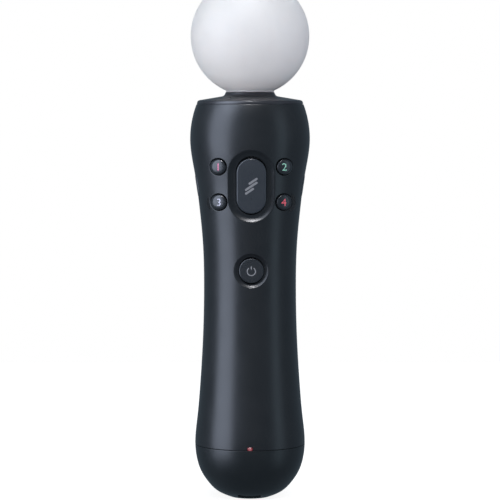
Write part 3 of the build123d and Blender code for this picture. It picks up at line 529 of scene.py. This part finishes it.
rearOpenings = [{"face": "back", "centre": (0.0, 121.7), "half": (7.0, 19.7), "corner": 1.3,
                 "loops": (0, .06, .12, .18, .25, .5, .9), "round": 0.25, "straight": 2.0}]
screwWells = (((-13.6, 135.2), 13.2), ((13.6, 135.2), 13.2), ((-9.5, 47.0), 10.5), ((9.5, 47.0), 10.5))
for centre, floor in screwWells:
    rearOpenings.append({"face": "back", "centre": centre, "half": (2.25, 2.25), "corner": 2.25,
                         "loops": (-1.2, -0.03, 0, .05, .1, .15, .2, .4, .9), "round": 0.2, "floor": floor,
                         "spacing": 0.35})
rearShell = makeShell("rearShell", 1, gripShape["split"], rearOpenings)
dress(rearShell, "housing", "shell_plastic", "rear_shell")
print("rear shell:", len(rearShell.data.polygons), "faces")


# end cap: the same surface from the pole up to the seam

def capToFlat(points):
    x, y, z = points.T
    r, steps = np.maximum(np.hypot(x, y), 1e-9), gripShape["capSteps"]
    run = np.where(z < 0.001, r, np.interp(r, lineR[:steps], lineS[:steps]))
    return np.stack([x / r * run, y / r * run], axis=1)


def capToBase(flat):
    run = np.hypot(flat[:, 0], flat[:, 1])
    return skinAt(run, *(flat / np.maximum(run, 1e-9)[:, None]).T)


capRun = float(runAt(gripShape["capSeam"]))


def capSeamDistance(flat, base):
    return capRun - np.hypot(flat[:, 0], flat[:, 1])


capBorder = []
for run, count in [*((capRun - inset, capRings["count"]) for inset in capRings["below"]),
                   *((run, capRings["footCount"]) for run in capRings["foot"])]:
    turns = np.linspace(0, 2 * math.pi, count, endpoint=False)
    capBorder.append(np.stack([run * np.cos(turns), run * np.sin(turns)], axis=1))
capOpenings = [
    # the two sockets, the pads' wells and the pocket of the strap bar
    {"face": "foot", "centre": (0.0, 10.1), "half": (3.82, 1.87), "corner": 0.7, "round": 0.2,
     "loops": (0, .05, .1, .15, .2, .5), "spacing": 0.4},
    {"face": "foot", "centre": (0.0, -10.1), "half": (4.62, 1.52), "corner": 0.5, "round": 0.2,
     "loops": (0, .05, .1, .15, .2, .5), "spacing": 0.4},
    *({"face": "foot", "centre": (x, 0.0), "half": (1.25, 1.25), "corner": 1.25, "round": 0.15,
       "loops": (0, .05, .1, .15, .4), "spacing": 0.25} for x in (-11.5, 11.5)),
    {"face": "back", "centre": (0.0, 14.5), "half": (3.4, 3.5), "corner": 0.9, "round": 0.25,
     "loops": (-1.5, -0.03, 0, .06, .12, .18, .25, .6), "spacing": 0.4, "floor": 14.5},
]
endCap = buildSkin("endCap", capToFlat, capToBase, capBorder, capOpenings, capSeamDistance)
# the end cap takes the darker finish, whose lower tone is painted shade
dress(endCap, "housing", "shell_plastic", "end_cap", finish=materials["endCap"])
print("end cap:", len(endCap.data.polygons), "faces")


# keys: one moulded form, drawn ring by ring from the rim to the middle

def loopFaces(rows, count):
    # quads between neighbouring loops of equal count
    return [(k + i, k + (i + 1) % count, k + count + (i + 1) % count, k + count + i)
            for k in range(0, (rows - 1) * count, count) for i in range(count)]


keyRules = {"edgeRings": 7, "faceRings": 12, "flangeThick": 0.7, "backShare": 0.02}


def makeKey(name, key):
    # across and up are the key's own axes; height is its distance out from the wand's axis
    cA, cB = key["centre"]
    half, corner, edge = key["half"], key["corner"], key["edge"]
    reach = min(half)
    count = key.get("count", 96)
    turns = np.linspace(0, math.pi / 2, keyRules["edgeRings"])
    inset = [*(edge * (1 - np.cos(turns))), *np.linspace(edge, reach, keyRules["faceRings"])[1:]]
    drop = [*(edge * (1 - np.sin(turns)))] + [0.0] * (keyRules["faceRings"] - 1)
    form = {"centre": key["centre"], "half": half, "corner": corner}
    rings = []
    for i, fall in zip(inset, drop):
        loop = oblongLoop(form, -min(i, reach * 0.9999), count=count)
        share = np.hypot(*(loop - np.array((cA, cB))).T) / reach if half[0] == half[1] else 1 - i / reach
        rings.append((loop, keyHeight(key, loop) + key["crown"] * (1 - share ** 2) - fall))
    rim = oblongLoop(form, 0.0, count=count)
    flange = oblongLoop(form, key["flange"], count=count)
    back, share = np.full(count, key["back"]), keyRules["backShare"]
    front = back + keyRules["flangeThick"]
    below = [(rim, front), (flange, front), (flange, back),
             (rim * share + np.array((cA, cB)) * (1 - share), back)]
    rows = rings[::-1] + below
    points = [toPlace(key["face"], a, b, h) for loop, height in rows for (a, b), h in zip(loop, height)]
    faces = loopFaces(len(rows), count)
    last = (len(rows) - 1) * count
    faces.append(tuple(last + i for i in range(count)))
    if half[0] == half[1]:
        faces.append(tuple(reversed(range(count))))
    return meshObject(name, points, faces, crisp["key"])


def keyHeight(key, loop):
    a, b = loop[:, 0] - key["centre"][0], loop[:, 1] - key["centre"][1]
    return key["height"] + key["tilt"][0] * a + key["tilt"][1] * b - key["curve"] * a ** 2


def toPlace(face, a, b, height):
    return {"front": (a, -height, b), "left": (-height, a, b), "right": (height, a, b)}[face]


def surfaceHeight(centre):
    return float(math.sqrt(radiusAt(centre[1]) ** 2 - centre[0] ** 2))


keyKinds = {
    # proud is how far the face stands past the grip; tilt is its lean across and up
    "move": {"half": (5.6, 10.45), "corner": 5.6, "edge": 0.5, "proud": -0.10, "tilt": (0.0, 0.145),
             "curve": 0.006, "crown": 0.12, "flange": 1.4, "back": 11.5, "count": 160},
    "home": {"half": (4.7, 4.7), "corner": 4.7, "edge": 0.35, "proud": -0.25, "tilt": (0.0, 0.02),
             "curve": 0.008, "crown": 0.18, "flange": 1.25, "back": 11.5},
    "round": {"half": (3.05, 3.05), "corner": 3.05, "edge": 1.0, "proud": 0.4, "tilt": (0.47, 0.1),
              "curve": 0.0, "crown": 0.45, "flange": 0.3, "back": 11.5},
    "side": {"half": (2.2, 4.3), "corner": 2.2, "edge": 0.3, "proud": 0.12, "tilt": (0.118, 0.15),
             "curve": 0.022, "crown": 0.1, "flange": 0.9, "back": 16.7},
}
keyBodies = {"move": ("move_key", "move_button"), "home": ("home_key", "home_button"),
             "side_left": ("select_key", "select_button"), "side_right": ("start_key", "start_button")}
for place in keyCentres:
    keyBodies.setdefault(place, (place + "_key", "button_" + place))
keyForms = {}
for place, (body, node) in keyBodies.items():
    centre, (kind, face) = keyCentres[place], keyKind(place)
    form = {"face": face, "centre": centre, **keyKinds[kind]}
    form["height"] = surfaceHeight(centre) + form["proud"]
    if kind == "round" and centre[0] > 0:
        form["tilt"] = (-form["tilt"][0], form["tilt"][1])
    keyForms[place] = form
    # the long key's face takes the paler finish, whose raised tone is painted light
    dress(makeKey("key_" + place, form), body, "key_plastic", node,
          finish=materials["longKeyPaintedLight"] if kind == "move" else None)
print("keys made")


# printed marks on the keys, thin ink that follows each face

def inkOn(name, keyName, flatPoints, faces, ink, lift=0.012):
    key = keyForms[keyName]
    points = np.array(flatPoints)
    a, b = points[:, 0] - key["centre"][0], points[:, 1] - key["centre"][1]
    reach = min(key["half"])
    share = np.hypot(a, np.maximum(np.abs(b) - (key["half"][1] - reach), 0)) / reach
    height = keyHeight(key, points) + key["crown"] * (1 - share ** 2) + lift
    place = [toPlace(key["face"], p[0], p[1], h) for p, h in zip(points, height)]
    dress(meshObject(name, place, faces), keyBodies[keyName][0], "key_plastic", finish=inks[ink])


def textShape(body, height, longest):
    # a plain digit as a fine flat mesh about its own middle, in mm
    curve = bpy.data.curves.new("digit", "FONT")
    curve.body = body
    holder = putInScene("digit", curve)
    bpy.context.view_layer.update()
    data = bpy.data.meshes.new_from_object(holder.evaluated_get(bpy.context.evaluated_depsgraph_get()))
    bpy.data.objects.remove(holder)
    work = bmesh.new()
    work.from_mesh(data)
    bmesh.ops.triangulate(work, faces=work.faces)
    flat = np.array([v.co for v in work.verts])
    low, high = flat.min(axis=0), flat.max(axis=0)
    for v in work.verts:
        v.co = (v.co - Vector((low + high) / 2)) * float(height / (high[1] - low[1]))
    for _ in range(3):
        long = [e for e in work.edges if e.calc_length() > longest]
        if long:
            bmesh.ops.subdivide_edges(work, edges=long, cuts=1)
            bmesh.ops.triangulate(work, faces=work.faces)
    work.verts.index_update()
    shape = [(v.co.x, v.co.y) for v in work.verts], [[v.index for v in f.verts] for f in work.faces]
    work.free()
    return shape


digitShape = {"height": 2.75, "longest": 0.5}
for place, digit, ink in (("upper_left", "1", "pink"), ("upper_right", "2", "green"),
                          ("lower_left", "3", "lavender"), ("lower_right", "4", "red")):
    centre = keyCentres[place]
    flatPoints, faces = textShape(digit, **digitShape)
    inkOn("ink_" + place, place, [(x + centre[0], y + centre[1]) for x, y in flatPoints], faces, ink)


def oblongPatch(centre, length, stroke, turn, rings=5, count=40):
    # a filled bar with round ends of fine faces, turned about its middle
    form = {"centre": (0.0, 0.0), "half": (length / 2, stroke / 2), "corner": stroke / 2}
    loops = [oblongLoop(form, -stroke / 2 * 0.999 * k / rings, count=count) for k in range(rings + 1)]
    c, s = math.cos(math.radians(turn)), math.sin(math.radians(turn))
    flatPoints = [(centre[0] + x * c - y * s, centre[1] + x * s + y * c) for loop in loops for x, y in loop]
    return flatPoints, loopFaces(rings + 1, count)


def arcPatch(mark, steps=48):
    flatPoints, (cA, cB), stroke = [], mark["ring"], mark["stroke"] / 2
    for a in np.radians(np.linspace(mark["from"], mark["to"], steps + 1)):
        flatPoints += [(cA + r * math.cos(a), cB + r * math.sin(a))
                       for r in (mark["radius"] - stroke, mark["radius"], mark["radius"] + stroke)]
    faces = [(3 * k + j, 3 * k + j + 1, 3 * k + j + 4, 3 * k + j + 3) for k in range(steps) for j in (0, 1)]
    return flatPoints, faces


moveMark = {"lengths": (4.032, 5.6, 4.032), "stroke": 0.85, "pitch": (0.665, 1.9), "turn": 34.0}
for k, length in enumerate(moveMark["lengths"]):
    centre = [middle + (k - 1) * pitch for middle, pitch in zip(keyCentres["move"], moveMark["pitch"])]
    patch = oblongPatch(centre, length, moveMark["stroke"], moveMark["turn"])
    inkOn("ink_move_" + str(k + 1), "move", *patch, "grey")
homeMark = {"ring": (0.5, 88.3), "radius": 1.55, "from": -235, "to": 55, "stroke": 0.38,
            "bar": (0.5, 89.6), "barLength": 1.5}
inkOn("ink_home_ring", "home", *arcPatch(homeMark), "grey")
inkOn("ink_home_bar", "home", *oblongPatch(homeMark["bar"], homeMark["barLength"], homeMark["stroke"], 90.0),
      "grey")
print("marks made")


# ball and collar, turned by Geometry Nodes from their profiles

def newTree(name, inputs):
    # geometry in and out, with the named inputs and the finish between
    tree = bpy.data.node_groups.new(name, "GeometryNodeTree")
    for label, kind in {"Geometry": "Geometry", **inputs, "Finish": "Material"}.items():
        tree.interface.new_socket(label, in_out="INPUT", socket_type="NodeSocket" + kind)
    tree.interface.new_socket("Geometry", in_out="OUTPUT", socket_type="NodeSocketGeometry")
    return tree, addNode(tree, "NodeGroupInput").outputs


def endTree(tree, geometry, finish):
    real = addNode(tree, "GeometryNodeRealizeInstances", {"Geometry": geometry})
    painted = addNode(tree, "GeometryNodeSetMaterial", {"Geometry": real.outputs[0], "Material": finish})
    addNode(tree, "NodeGroupOutput", {0: painted.outputs[0]})
    return tree


def latheTree():
    # a grid whose rows take the profile's points, each turned about Z
    tree, given = newTree("turnedProfile", {"Points": "Int", "Segments": "Int"})
    segments = addNode(tree, "ShaderNodeMath", {0: given["Segments"]}, operation="ADD", sockets={1: 1})
    grid = addNode(tree, "GeometryNodeMeshGrid",
                   {"Vertices X": given["Points"], "Vertices Y": segments.outputs[0]},
                   sockets={"Size X": 1.0, "Size Y": 1.0})
    position = addNode(tree, "GeometryNodeInputPosition").outputs[0]
    moved = addNode(tree, "ShaderNodeVectorMath", {0: position}, operation="ADD",
                    sockets={1: (0.5, 0.5, 0.0)})
    share = addNode(tree, "ShaderNodeSeparateXYZ", {0: moved.outputs[0]}).outputs
    last = addNode(tree, "ShaderNodeMath", {0: given["Points"]}, operation="SUBTRACT", sockets={1: 1})
    step = addNode(tree, "ShaderNodeMath", {0: share["X"], 1: last.outputs[0]}, operation="MULTIPLY")
    index = addNode(tree, "ShaderNodeMath", {0: step.outputs[0]}, operation="ROUND")
    sample = addNode(tree, "GeometryNodeSampleIndex",
                     {"Geometry": given["Geometry"], "Index": index.outputs[0], "Value": position},
                     data_type="FLOAT_VECTOR", domain="POINT")
    turn = addNode(tree, "ShaderNodeMath", {0: share["Y"]}, operation="MULTIPLY", sockets={1: 2 * math.pi})
    spot = addNode(tree, "ShaderNodeVectorRotate",
                   {"Vector": sample.outputs["Value"], "Angle": turn.outputs[0]}, rotation_type="Z_AXIS")
    placed = addNode(tree, "GeometryNodeSetPosition",
                     {"Geometry": grid.outputs["Mesh"], "Position": spot.outputs[0]})
    merged = addNode(tree, "GeometryNodeMergeByDistance", {"Geometry": placed.outputs[0]},
                     sockets={"Distance": weld["lathe"] * mm})
    return endTree(tree, merged.outputs[0], given["Finish"])


def bakeNodes(holder, tree, values):
    # sets the named inputs by their identifiers, evaluates once and keeps a plain mesh
    modifier = holder.modifiers.new("nodes", "NODES")
    modifier.node_group = tree
    for item in tree.interface.items_tree:
        if item.in_out == "INPUT" and item.name in values:
            modifier[item.identifier] = values[item.name]
    bpy.context.view_layer.update()
    graph = bpy.context.evaluated_depsgraph_get()
    data = bpy.data.meshes.new_from_object(holder.evaluated_get(graph))
    holder.modifiers.remove(modifier)
    old = holder.data
    holder.data = data
    bpy.data.meshes.remove(old)


def turned(name, profile, segments, finish):
    data = bpy.data.meshes.new(name)
    data.from_pydata([(r * mm, 0.0, z * mm) for r, z in profile], [], [])
    piece = putInScene(name, data)
    bakeNodes(piece, lathe, {"Points": len(profile), "Segments": segments, "Finish": finish})
    cleanMesh(piece.data, weld["lathe"], crisp["turned"], recalc=True)
    return piece


def roundedProfile(corners, steps=8):
    # corners are (r, z, radius); each corner with a radius becomes an arc
    points = []
    for k, (r, z, radius) in enumerate(corners):
        here = np.array((r, z))
        if radius == 0 or k in (0, len(corners) - 1):
            points.append(tuple(here))
            continue
        before = np.array(corners[k - 1][:2]) - here
        after = np.array(corners[k + 1][:2]) - here
        before, after = before / np.linalg.norm(before), after / np.linalg.norm(after)
        halfAngle = math.acos(np.clip(before @ after, -1, 1)) / 2
        cut = radius / math.tan(halfAngle)
        start, end = here + before * cut, here + after * cut
        centre = here + (before + after) / np.linalg.norm(before + after) * radius / math.sin(halfAngle)
        a0, a1 = start - centre, end - centre
        swing = math.atan2(a0[0] * a1[1] - a0[1] * a1[0], a0 @ a1)
        for i in range(steps + 1):
            t = swing * i / steps
            points.append((centre[0] + a0[0] * math.cos(t) - a0[1] * math.sin(t),
                           centre[1] + a0[0] * math.sin(t) + a0[1] * math.cos(t)))
    return points


lathe = latheTree()
ballShape = {"radius": 22.7, "height": 177.3, "lip": 9.22, "cut": 156.02, "lipEdge": 0.1, "wall": 1.8,
             "spigot": 7.0, "bore": 5.6, "spigotFoot": 147.6, "rings": 110, "segments": 160}
turnEnd = math.pi - math.asin(ballShape["lip"] / ballShape["radius"])
ballProfile = [(ballShape["radius"] * math.sin(t), ballShape["height"] + ballShape["radius"] * math.cos(t))
               for t in np.linspace(0, turnEnd, ballShape["rings"])]
innerRadius = ballShape["radius"] - ballShape["wall"]
ballProfile += [(ballShape["lip"], ballShape["cut"] + ballShape["lipEdge"]),
                (ballShape["lip"] - ballShape["lipEdge"], ballShape["cut"]),
                (ballShape["spigot"], ballShape["cut"]), (ballShape["spigot"], ballShape["spigotFoot"]),
                (ballShape["bore"], ballShape["spigotFoot"])]
innerEnd = math.pi - math.asin(ballShape["bore"] / innerRadius)
ballProfile += [(innerRadius * math.sin(t), ballShape["height"] + innerRadius * math.cos(t))
                for t in np.linspace(innerEnd, 0, ballShape["rings"] // 2)]
lightBall = turned("lightBall", ballProfile, ballShape["segments"], materials["ball_rubber"])
dress(lightBall, "housing", "ball_rubber", "light_ball")

collarShape = {"seam": 151.4, "skirtInset": 2.25, "skirtWall": 1.6, "stepInset": 0.3, "segments": 160}
seat = float(radiusAt(collarShape["seam"]))
skirt, step = seat - collarShape["skirtInset"], seat - collarShape["stepInset"]
inside = skirt - collarShape["skirtWall"]
collarShape["corners"] = [
    # radius, height and rounding: the bore, the skirt inside the shells, the step that closes the seam,
    # the rim and the flare up to the neck
    (7.05, 155.98, 0), (7.05, 149.4, 0), (inside, 149.4, 0), (inside, 146.4, 0), (skirt, 146.4, 0),
    (skirt, 151.22, 0), (step, 151.22, 0), (step, 151.46, 0), (seat, 151.46, 0.14), (20.05, 152.62, 0.5),
    (19.45, 152.9, 0.4), (9.9, 154.5, 1.6), (9.3, 155.98, 0.12), (7.05, 155.98, 0),
]
collar = turned("neckCollar", roundedProfile(collarShape["corners"]), collarShape["segments"],
                materials["collar_plastic"])
dress(collar, "housing", "collar_plastic", "neck_collar")
print("ball and collar turned")


# shell screws: one cross-head screw, placed in its wells by Geometry Nodes

screwShape = {"head": 2.0, "thick": 1.5, "shank": 0.95, "length": 12.5, "point": 1.0, "slotWidth": 0.55,
              "slotLength": 2.4, "slotDepth": 0.9, "slotTaper": 0.8, "seat": 0.02, "turnStep": 0.55,
              "segments": 32, "dome": ((1.0, 0.6), (0.86, 0.9), (0.7, 1.0))}


def screwMesh():
    # a pan head with a cross recess, made along +Y with its seat at the origin
    head, thick, shank, length = (screwShape[key] for key in ("head", "thick", "shank", "length"))
    profile = ((0.0, -length), (shank / 2, -length), (shank, screwShape["point"] - length), (shank, 0.0),
               (head, 0.0), *((head * r, thick * y) for r, y in screwShape["dome"]))
    turns = np.linspace(0, 2 * math.pi, screwShape["segments"], endpoint=False)
    work = bmesh.new()
    rings = [[work.verts.new((r * math.cos(a) * mm, y * mm, r * math.sin(a) * mm)) for a in turns]
             for r, y in profile]
    # the top is a ring of faces round a cross that sinks to the slot's floor
    w, l = screwShape["slotWidth"] / 2, screwShape["slotLength"] / 2
    cross = ((l, -w), (l, w), (w, w), (w, l), (-w, l), (-w, w), (-l, w), (-l, -w), (-w, -w), (-w, -l),
             (w, -l), (w, -w))
    top, low = ([work.verts.new((a * share * mm, y * mm, b * share * mm)) for a, b in cross]
                for y, share in ((thick, 1.0), (thick - screwShape["slotDepth"], screwShape["slotTaper"])))
    for one, other in [*zip(rings, rings[1:]), (top, low)]:
        for k in range(len(one)):
            work.faces.new((one[k - 1], one[k], other[k], other[k - 1]))
    work.faces.new(low)
    edges = [work.edges.get((ring[k - 1], ring[k])) for ring in (rings[-1], top) for k in range(len(ring))]
    bmesh.ops.triangle_fill(work, use_beauty=True, edges=edges)
    data = bpy.data.meshes.new("screw")
    work.to_mesh(data)
    work.free()
    cleanMesh(data, weld["fine"], crisp["screw"], recalc=True)
    return putInScene("screwPattern", data)


def screwTree():
    # one screw on each point, each turned a step further than the last
    tree, given = newTree("screwsInWells", {"Screw": "Object", "Turn Step": "Float"})
    screw = addNode(tree, "GeometryNodeObjectInfo", {"Object": given["Screw"]})
    index = addNode(tree, "GeometryNodeInputIndex")
    angle = addNode(tree, "ShaderNodeMath", {0: index.outputs[0], 1: given["Turn Step"]},
                    operation="MULTIPLY")
    turn = addNode(tree, "ShaderNodeCombineXYZ", {1: angle.outputs[0]})
    placed = addNode(tree, "GeometryNodeInstanceOnPoints",
                     {"Points": given["Geometry"], "Instance": screw.outputs["Geometry"],
                      "Rotation": turn.outputs[0]})
    return endTree(tree, placed.outputs[0], given["Finish"])


pattern = screwMesh()
data = bpy.data.meshes.new("shellScrews")
seats = [(x * mm, (floor + screwShape["seat"]) * mm, z * mm) for (x, z), floor in screwWells]
data.from_pydata(seats, [], [])
shellScrews = putInScene("shellScrews", data)
bakeNodes(shellScrews, screwTree(), {"Screw": pattern, "Turn Step": screwShape["turnStep"],
                                     "Finish": materials["screw_steel"]})
bpy.data.objects.remove(pattern)
dress(shellScrews, "housing", "screw_steel", "shell_screws")
print("screws placed")


# status light in the notch above the cap

lensForm = {"face": "front", "centre": (0.0, 21.12), "half": (1.08, 0.66), "corner": 0.64, "edge": 0.3,
            "height": float(radiusAt(21.1)) - 0.02, "tilt": (0.0, 0.0), "curve": 0.02, "crown": 0.05,
            "flange": 0.0, "back": 10.1, "count": 48}
dress(makeKey("statusLens", lensForm), "housing", "red_lens", "status_lens")


# trigger: one curved lever, hollow from behind, rounded all round where the finger lies
leverForm = {
    # in mm and degrees; pairs are depth and height, and the rounding eases off towards the pin
    "half": 6.5, "pin": (13.4, 137.6), "barrel": 2.7, "bore": 1.05, "skin": 2.1, "sideWall": 1.7,
    "round": 1.9, "crown": 0.35, "head": (22.75, 140.9), "belly": (22.1, 123.5), "tip": (24.6, 107.2),
    "foot": (22.5, 104.5), "heel": (16.2, 106.6), "corners": (2.0, 2.3, 2.1, 2.0), "spacing": 0.55,
    "frontEnds": 3.0, "easeFrom": 14.0, "easeRun": 5.0, "easeLeast": 0.1, "hood": (5.56, 6.94),
    "hoodFrom": -4.0, "hoodTo": 50.0, "hoodSteps": 12, "hoodInset": 0.1,
}


def leverOutline(form):
    # side view, a closed loop of even steps in depth and height
    pinY, pinZ = form["pin"]
    curve = np.polyfit(*zip(*[(z, y) for y, z in (form["head"], form["belly"], form["tip"])]), 2)
    top, low = form["head"][1] - form["frontEnds"], form["tip"][1] + form["frontEnds"]
    front = [(np.polyval(curve, z), z, 0) for z in np.linspace(top, low, 30)]
    back = [(pinY - form["barrel"] * math.sin(t), pinZ - form["barrel"] * math.cos(t), 0)
            for t in np.linspace(0, math.pi, 14)]
    start = (0.5 * (form["heel"][0] + pinY), 0.5 * (form["heel"][1] + pinZ - form["barrel"]), 0)
    head, tip, foot, heel = form["corners"]
    corners = [start] + back + [(*form["head"], head)] + front
    corners += [(*form["tip"], tip), (*form["foot"], foot), (*form["heel"], heel), start]
    line = np.array(roundedProfile(corners))
    run = np.concatenate([[0], np.cumsum(np.hypot(*np.diff(line, axis=0).T))])
    even = np.linspace(0, run[-1], int(run[-1] / form["spacing"]), endpoint=False)
    return np.stack([np.interp(even, run, line[:, 0]), np.interp(even, run, line[:, 1])], axis=1)


def prismMesh(name, loops, places):
    # closed solid through one loop per place along X
    count, last = len(loops[0]), (len(loops) - 1) * len(loops[0])
    vertices = [(x, y, z) for x, loop in zip(places, loops) for y, z in loop]
    caps = [tuple(range(count))[::-1], tuple(range(last, last + count))]
    return meshObject(name, vertices, caps + loopFaces(len(loops), count))


def makeLever(form):
    outline = leverOutline(form)
    ahead = np.roll(outline, -1, axis=0) - np.roll(outline, 1, axis=0)
    inward = np.stack([-ahead[:, 1], ahead[:, 0]], axis=1) / np.hypot(*ahead.T)[:, None]
    area = np.sum(outline[:, 0] * np.roll(outline[:, 1], -1) - np.roll(outline[:, 0], -1) * outline[:, 1])
    inward *= np.sign(area)
    ease = np.clip((outline[:, 0] - form["easeFrom"]) / form["easeRun"], 0, 1)
    weight = form["easeLeast"] + (1 - form["easeLeast"]) * ease * ease * (3 - 2 * ease)
    half, edge = form["half"], form["round"]
    turns = np.linspace(0, math.pi / 2, 9)
    side = [half - edge + edge * math.sin(t) for t in turns]
    flat = list(np.linspace(0, half - edge, 8))[:-1]
    places = [-x for x in reversed(flat[1:] + side)] + flat + side
    loops = []
    for x in places:
        t = max(abs(x) - (half - edge), 0.0)
        inset = edge - math.sqrt(max(edge * edge - t * t, 0.0))
        inset += form["crown"] * (x / half) ** 2 * (1 - t / edge)
        loops.append(outline + inward * (inset * weight)[:, None])
    lever = prismMesh("triggerLever", loops, places)
    inner = half - form["sideWall"]
    circle = np.array([(math.cos(t), math.sin(t)) for t in np.linspace(0, 2 * math.pi, 40, endpoint=False)])
    pin, reach = np.array(form["pin"]), half + 1
    cutters = [prismMesh(name, [loop] * 2, (-width, width)) for name, loop, width in (
        ("leverRoom", outline - np.array((form["skin"], 0.0)), inner),
        ("leverTurn", pin + (form["barrel"] + form["skin"]) * circle, inner),
        ("leverBore", pin + form["bore"] * circle, reach))]
    for cutter in cutters:
        cut = lever.modifiers.new(cutter.name, "BOOLEAN")
        cut.operation, cut.solver, cut.object = "DIFFERENCE", "EXACT", cutter
    bpy.context.view_layer.update()
    data = bpy.data.meshes.new_from_object(lever.evaluated_get(bpy.context.evaluated_depsgraph_get()))
    lever.modifiers.clear()
    sweep = np.radians(np.linspace(form["hoodFrom"], form["hoodTo"], form["hoodSteps"]))
    near, far = form["hood"]
    arc = np.array([pin + r * np.array((math.cos(t), math.sin(t)))
                    for r, turn in ((far, sweep), (near, sweep[::-1])) for t in turn])
    hood = prismMesh("leverHood", [arc] * 2, (form["hoodInset"] - half, half - form["hoodInset"]))
    cleanMesh(data, weld["fine"], crisp["lever"], added=hood.data)
    for cutter in cutters + [hood]:
        bpy.data.objects.remove(cutter)
    lever.data = data
    return lever


trigger = makeLever(leverForm)
dress(trigger, "trigger_lever", "trigger_plastic", "trigger")
print("lens and trigger made:", len(trigger.data.polygons), "lever faces")

# camera, light, floor and backdrop

view = {"place": (0.0, -886.0, 152.5), "target": (0.0, 0.0, 95.3), "lens": 165.97, "sensor": 36.0}
camera = putInScene("camera", bpy.data.cameras.new("camera"))
camera.data.lens, camera.data.sensor_width = view["lens"], view["sensor"]
camera.location = Vector(view["place"]) * mm
camera.rotation_euler = (Vector(view["target"]) - Vector(view["place"])).to_track_quat("-Z", "Y").to_euler()
bpy.context.scene.camera = camera

lampAim = Vector((0, 0, 0.11))
lamps = {
    # azimuth and elevation in degrees, distance, width and height in m, watts, tint, what it lights
    "leftBox": (-61, 9, 1.0, 0.80, 1.25, 12.6, "#dee9ff", "gloss"),
    "rightBox": (64, 0, 1.2, 0.40, 1.4, 1.5, "#d4eeff", "gloss"),
    "highBox": (-48, 50, 1.4, 0.8, 0.8, 9.0, "#dfeaff", "gloss"),
    "glint": (-1, 70, 1.0, 0.12, 0.30, 8.5, "#fcfbff", "gloss"),
    "leftFill": (-68, 10, 1.3, 1.0, 1.0, 7.6, "#fffcfb", "matt"),
    "rightFill": (74, 22, 1.3, 1.0, 1.0, 6.2, "#fff5f8", "matt"),
    "topFill": (2, 68, 1.3, 1.8, 1.0, 10.0, "#fffefa", "matt"),
    "lowFill": (-14, -8, 1.3, 2.0, 0.6, 14.6, "#fff5f4", "matt"),
}
for name, (azimuth, elevation, distance, width, height, watts, tint, reach) in lamps.items():
    lamp = bpy.data.lights.new(name, "AREA")
    lamp.shape, lamp.size, lamp.size_y, lamp.energy = "RECTANGLE", width, height, watts
    lamp.color = toLinear(tint)[:3]
    holder = putInScene(name, lamp)
    a, e = math.radians(azimuth), math.radians(elevation)
    out = Vector((math.sin(a) * math.cos(e), -math.cos(a) * math.cos(e), math.sin(e)))
    holder.location = lampAim + out * distance
    holder.rotation_euler = (-out).to_track_quat("-Z", "Y").to_euler()
    holder.visible_diffuse = reach != "gloss"
    holder.visible_glossy = reach != "matt"


stage = {
    # half widths, depths and heights in m; the floor's glow is what the camera meets on it
    "boardHalf": 0.24, "boardY": 1.3, "boardZ": 0.3, "floorHalf": 0.32, "floorFront": -0.14,
    "floorBack": 0.45, "floorGlow": 0.87, "dimTint": "#cde9ff", "dimStrength": 0.23,
}


def stagePlane(name, corners, material):
    data = bpy.data.meshes.new(name)
    data.from_pydata(corners, [], [(0, 1, 2, 3)])
    data.materials.append(material)
    made = putInScene(name, data)
    return made


# painted board behind the object: camera, glossy and transmission rays meet plain white
boardPaint, tree, shader = plainSurface("whiteBackdropPaint", "#f0f0f0", Roughness=0.9)
path = addNode(tree, "ShaderNodeLightPath").outputs
eye = path["Is Camera Ray"]
for ray in ("Is Glossy Ray", "Is Transmission Ray"):
    eye = addNode(tree, "ShaderNodeMath", {0: eye, 1: path[ray]}, operation="MAXIMUM").outputs[0]
white = addNode(tree, "ShaderNodeEmission", sockets={"Strength": 1.0})
mixed = addNode(tree, "ShaderNodeMixShader", {0: eye, 1: shader.outputs[0], 2: white.outputs[0]})
tree.links.new(mixed.outputs[0], tree.nodes["Material Output"].inputs["Surface"])
half, y, z = stage["boardHalf"], stage["boardY"], stage["boardZ"]
stagePlane("backdrop", [(-half, y, -z), (half, y, -z), (half, y, z), (-half, y, z)], boardPaint)
# floor: pale card that stays near white to the eye, keeps the object's shadow and is dim in reflections
floorCard, tree, shader = plainSurface("paleFloorCard", "#a8a8a8", Roughness=0.9)
shader.inputs["Specular IOR Level"].default_value = 0.0
eye = addNode(tree, "ShaderNodeLightPath").outputs["Is Camera Ray"]
strength = addNode(tree, "ShaderNodeMath", {0: eye}, operation="MULTIPLY", sockets={1: stage["floorGlow"]})
glow = addNode(tree, "ShaderNodeEmission", {"Strength": strength.outputs[0]})
both = addNode(tree, "ShaderNodeAddShader", {0: shader.outputs[0], 1: glow.outputs[0]})
tree.links.new(both.outputs[0], tree.nodes["Material Output"].inputs["Surface"])
half, front, back = stage["floorHalf"], stage["floorFront"], stage["floorBack"]
corners = [(-half, front, 0), (half, front, 0), (half, back, 0), (-half, back, 0)]
floorPlane = stagePlane("floor", corners, floorCard)
floorPlane.visible_glossy = False

world = bpy.data.worlds.new("studio")
bpy.context.scene.world = world
world.use_nodes = True
tree = world.node_tree
tree.nodes.clear()
dim = addNode(tree, "ShaderNodeBackground", sockets={"Color": toLinear(stage["dimTint"]),
                                                     "Strength": stage["dimStrength"]})
white = addNode(tree, "ShaderNodeBackground", sockets={"Strength": 1.0})
eye = addNode(tree, "ShaderNodeLightPath").outputs["Is Camera Ray"]
mixed = addNode(tree, "ShaderNodeMixShader", {0: eye, 1: dim.outputs[0], 2: white.outputs[0]})
addNode(tree, "ShaderNodeOutputWorld", {0: mixed.outputs[0]})
bpy.context.scene.view_settings.view_transform = "Standard"
print("stage set")
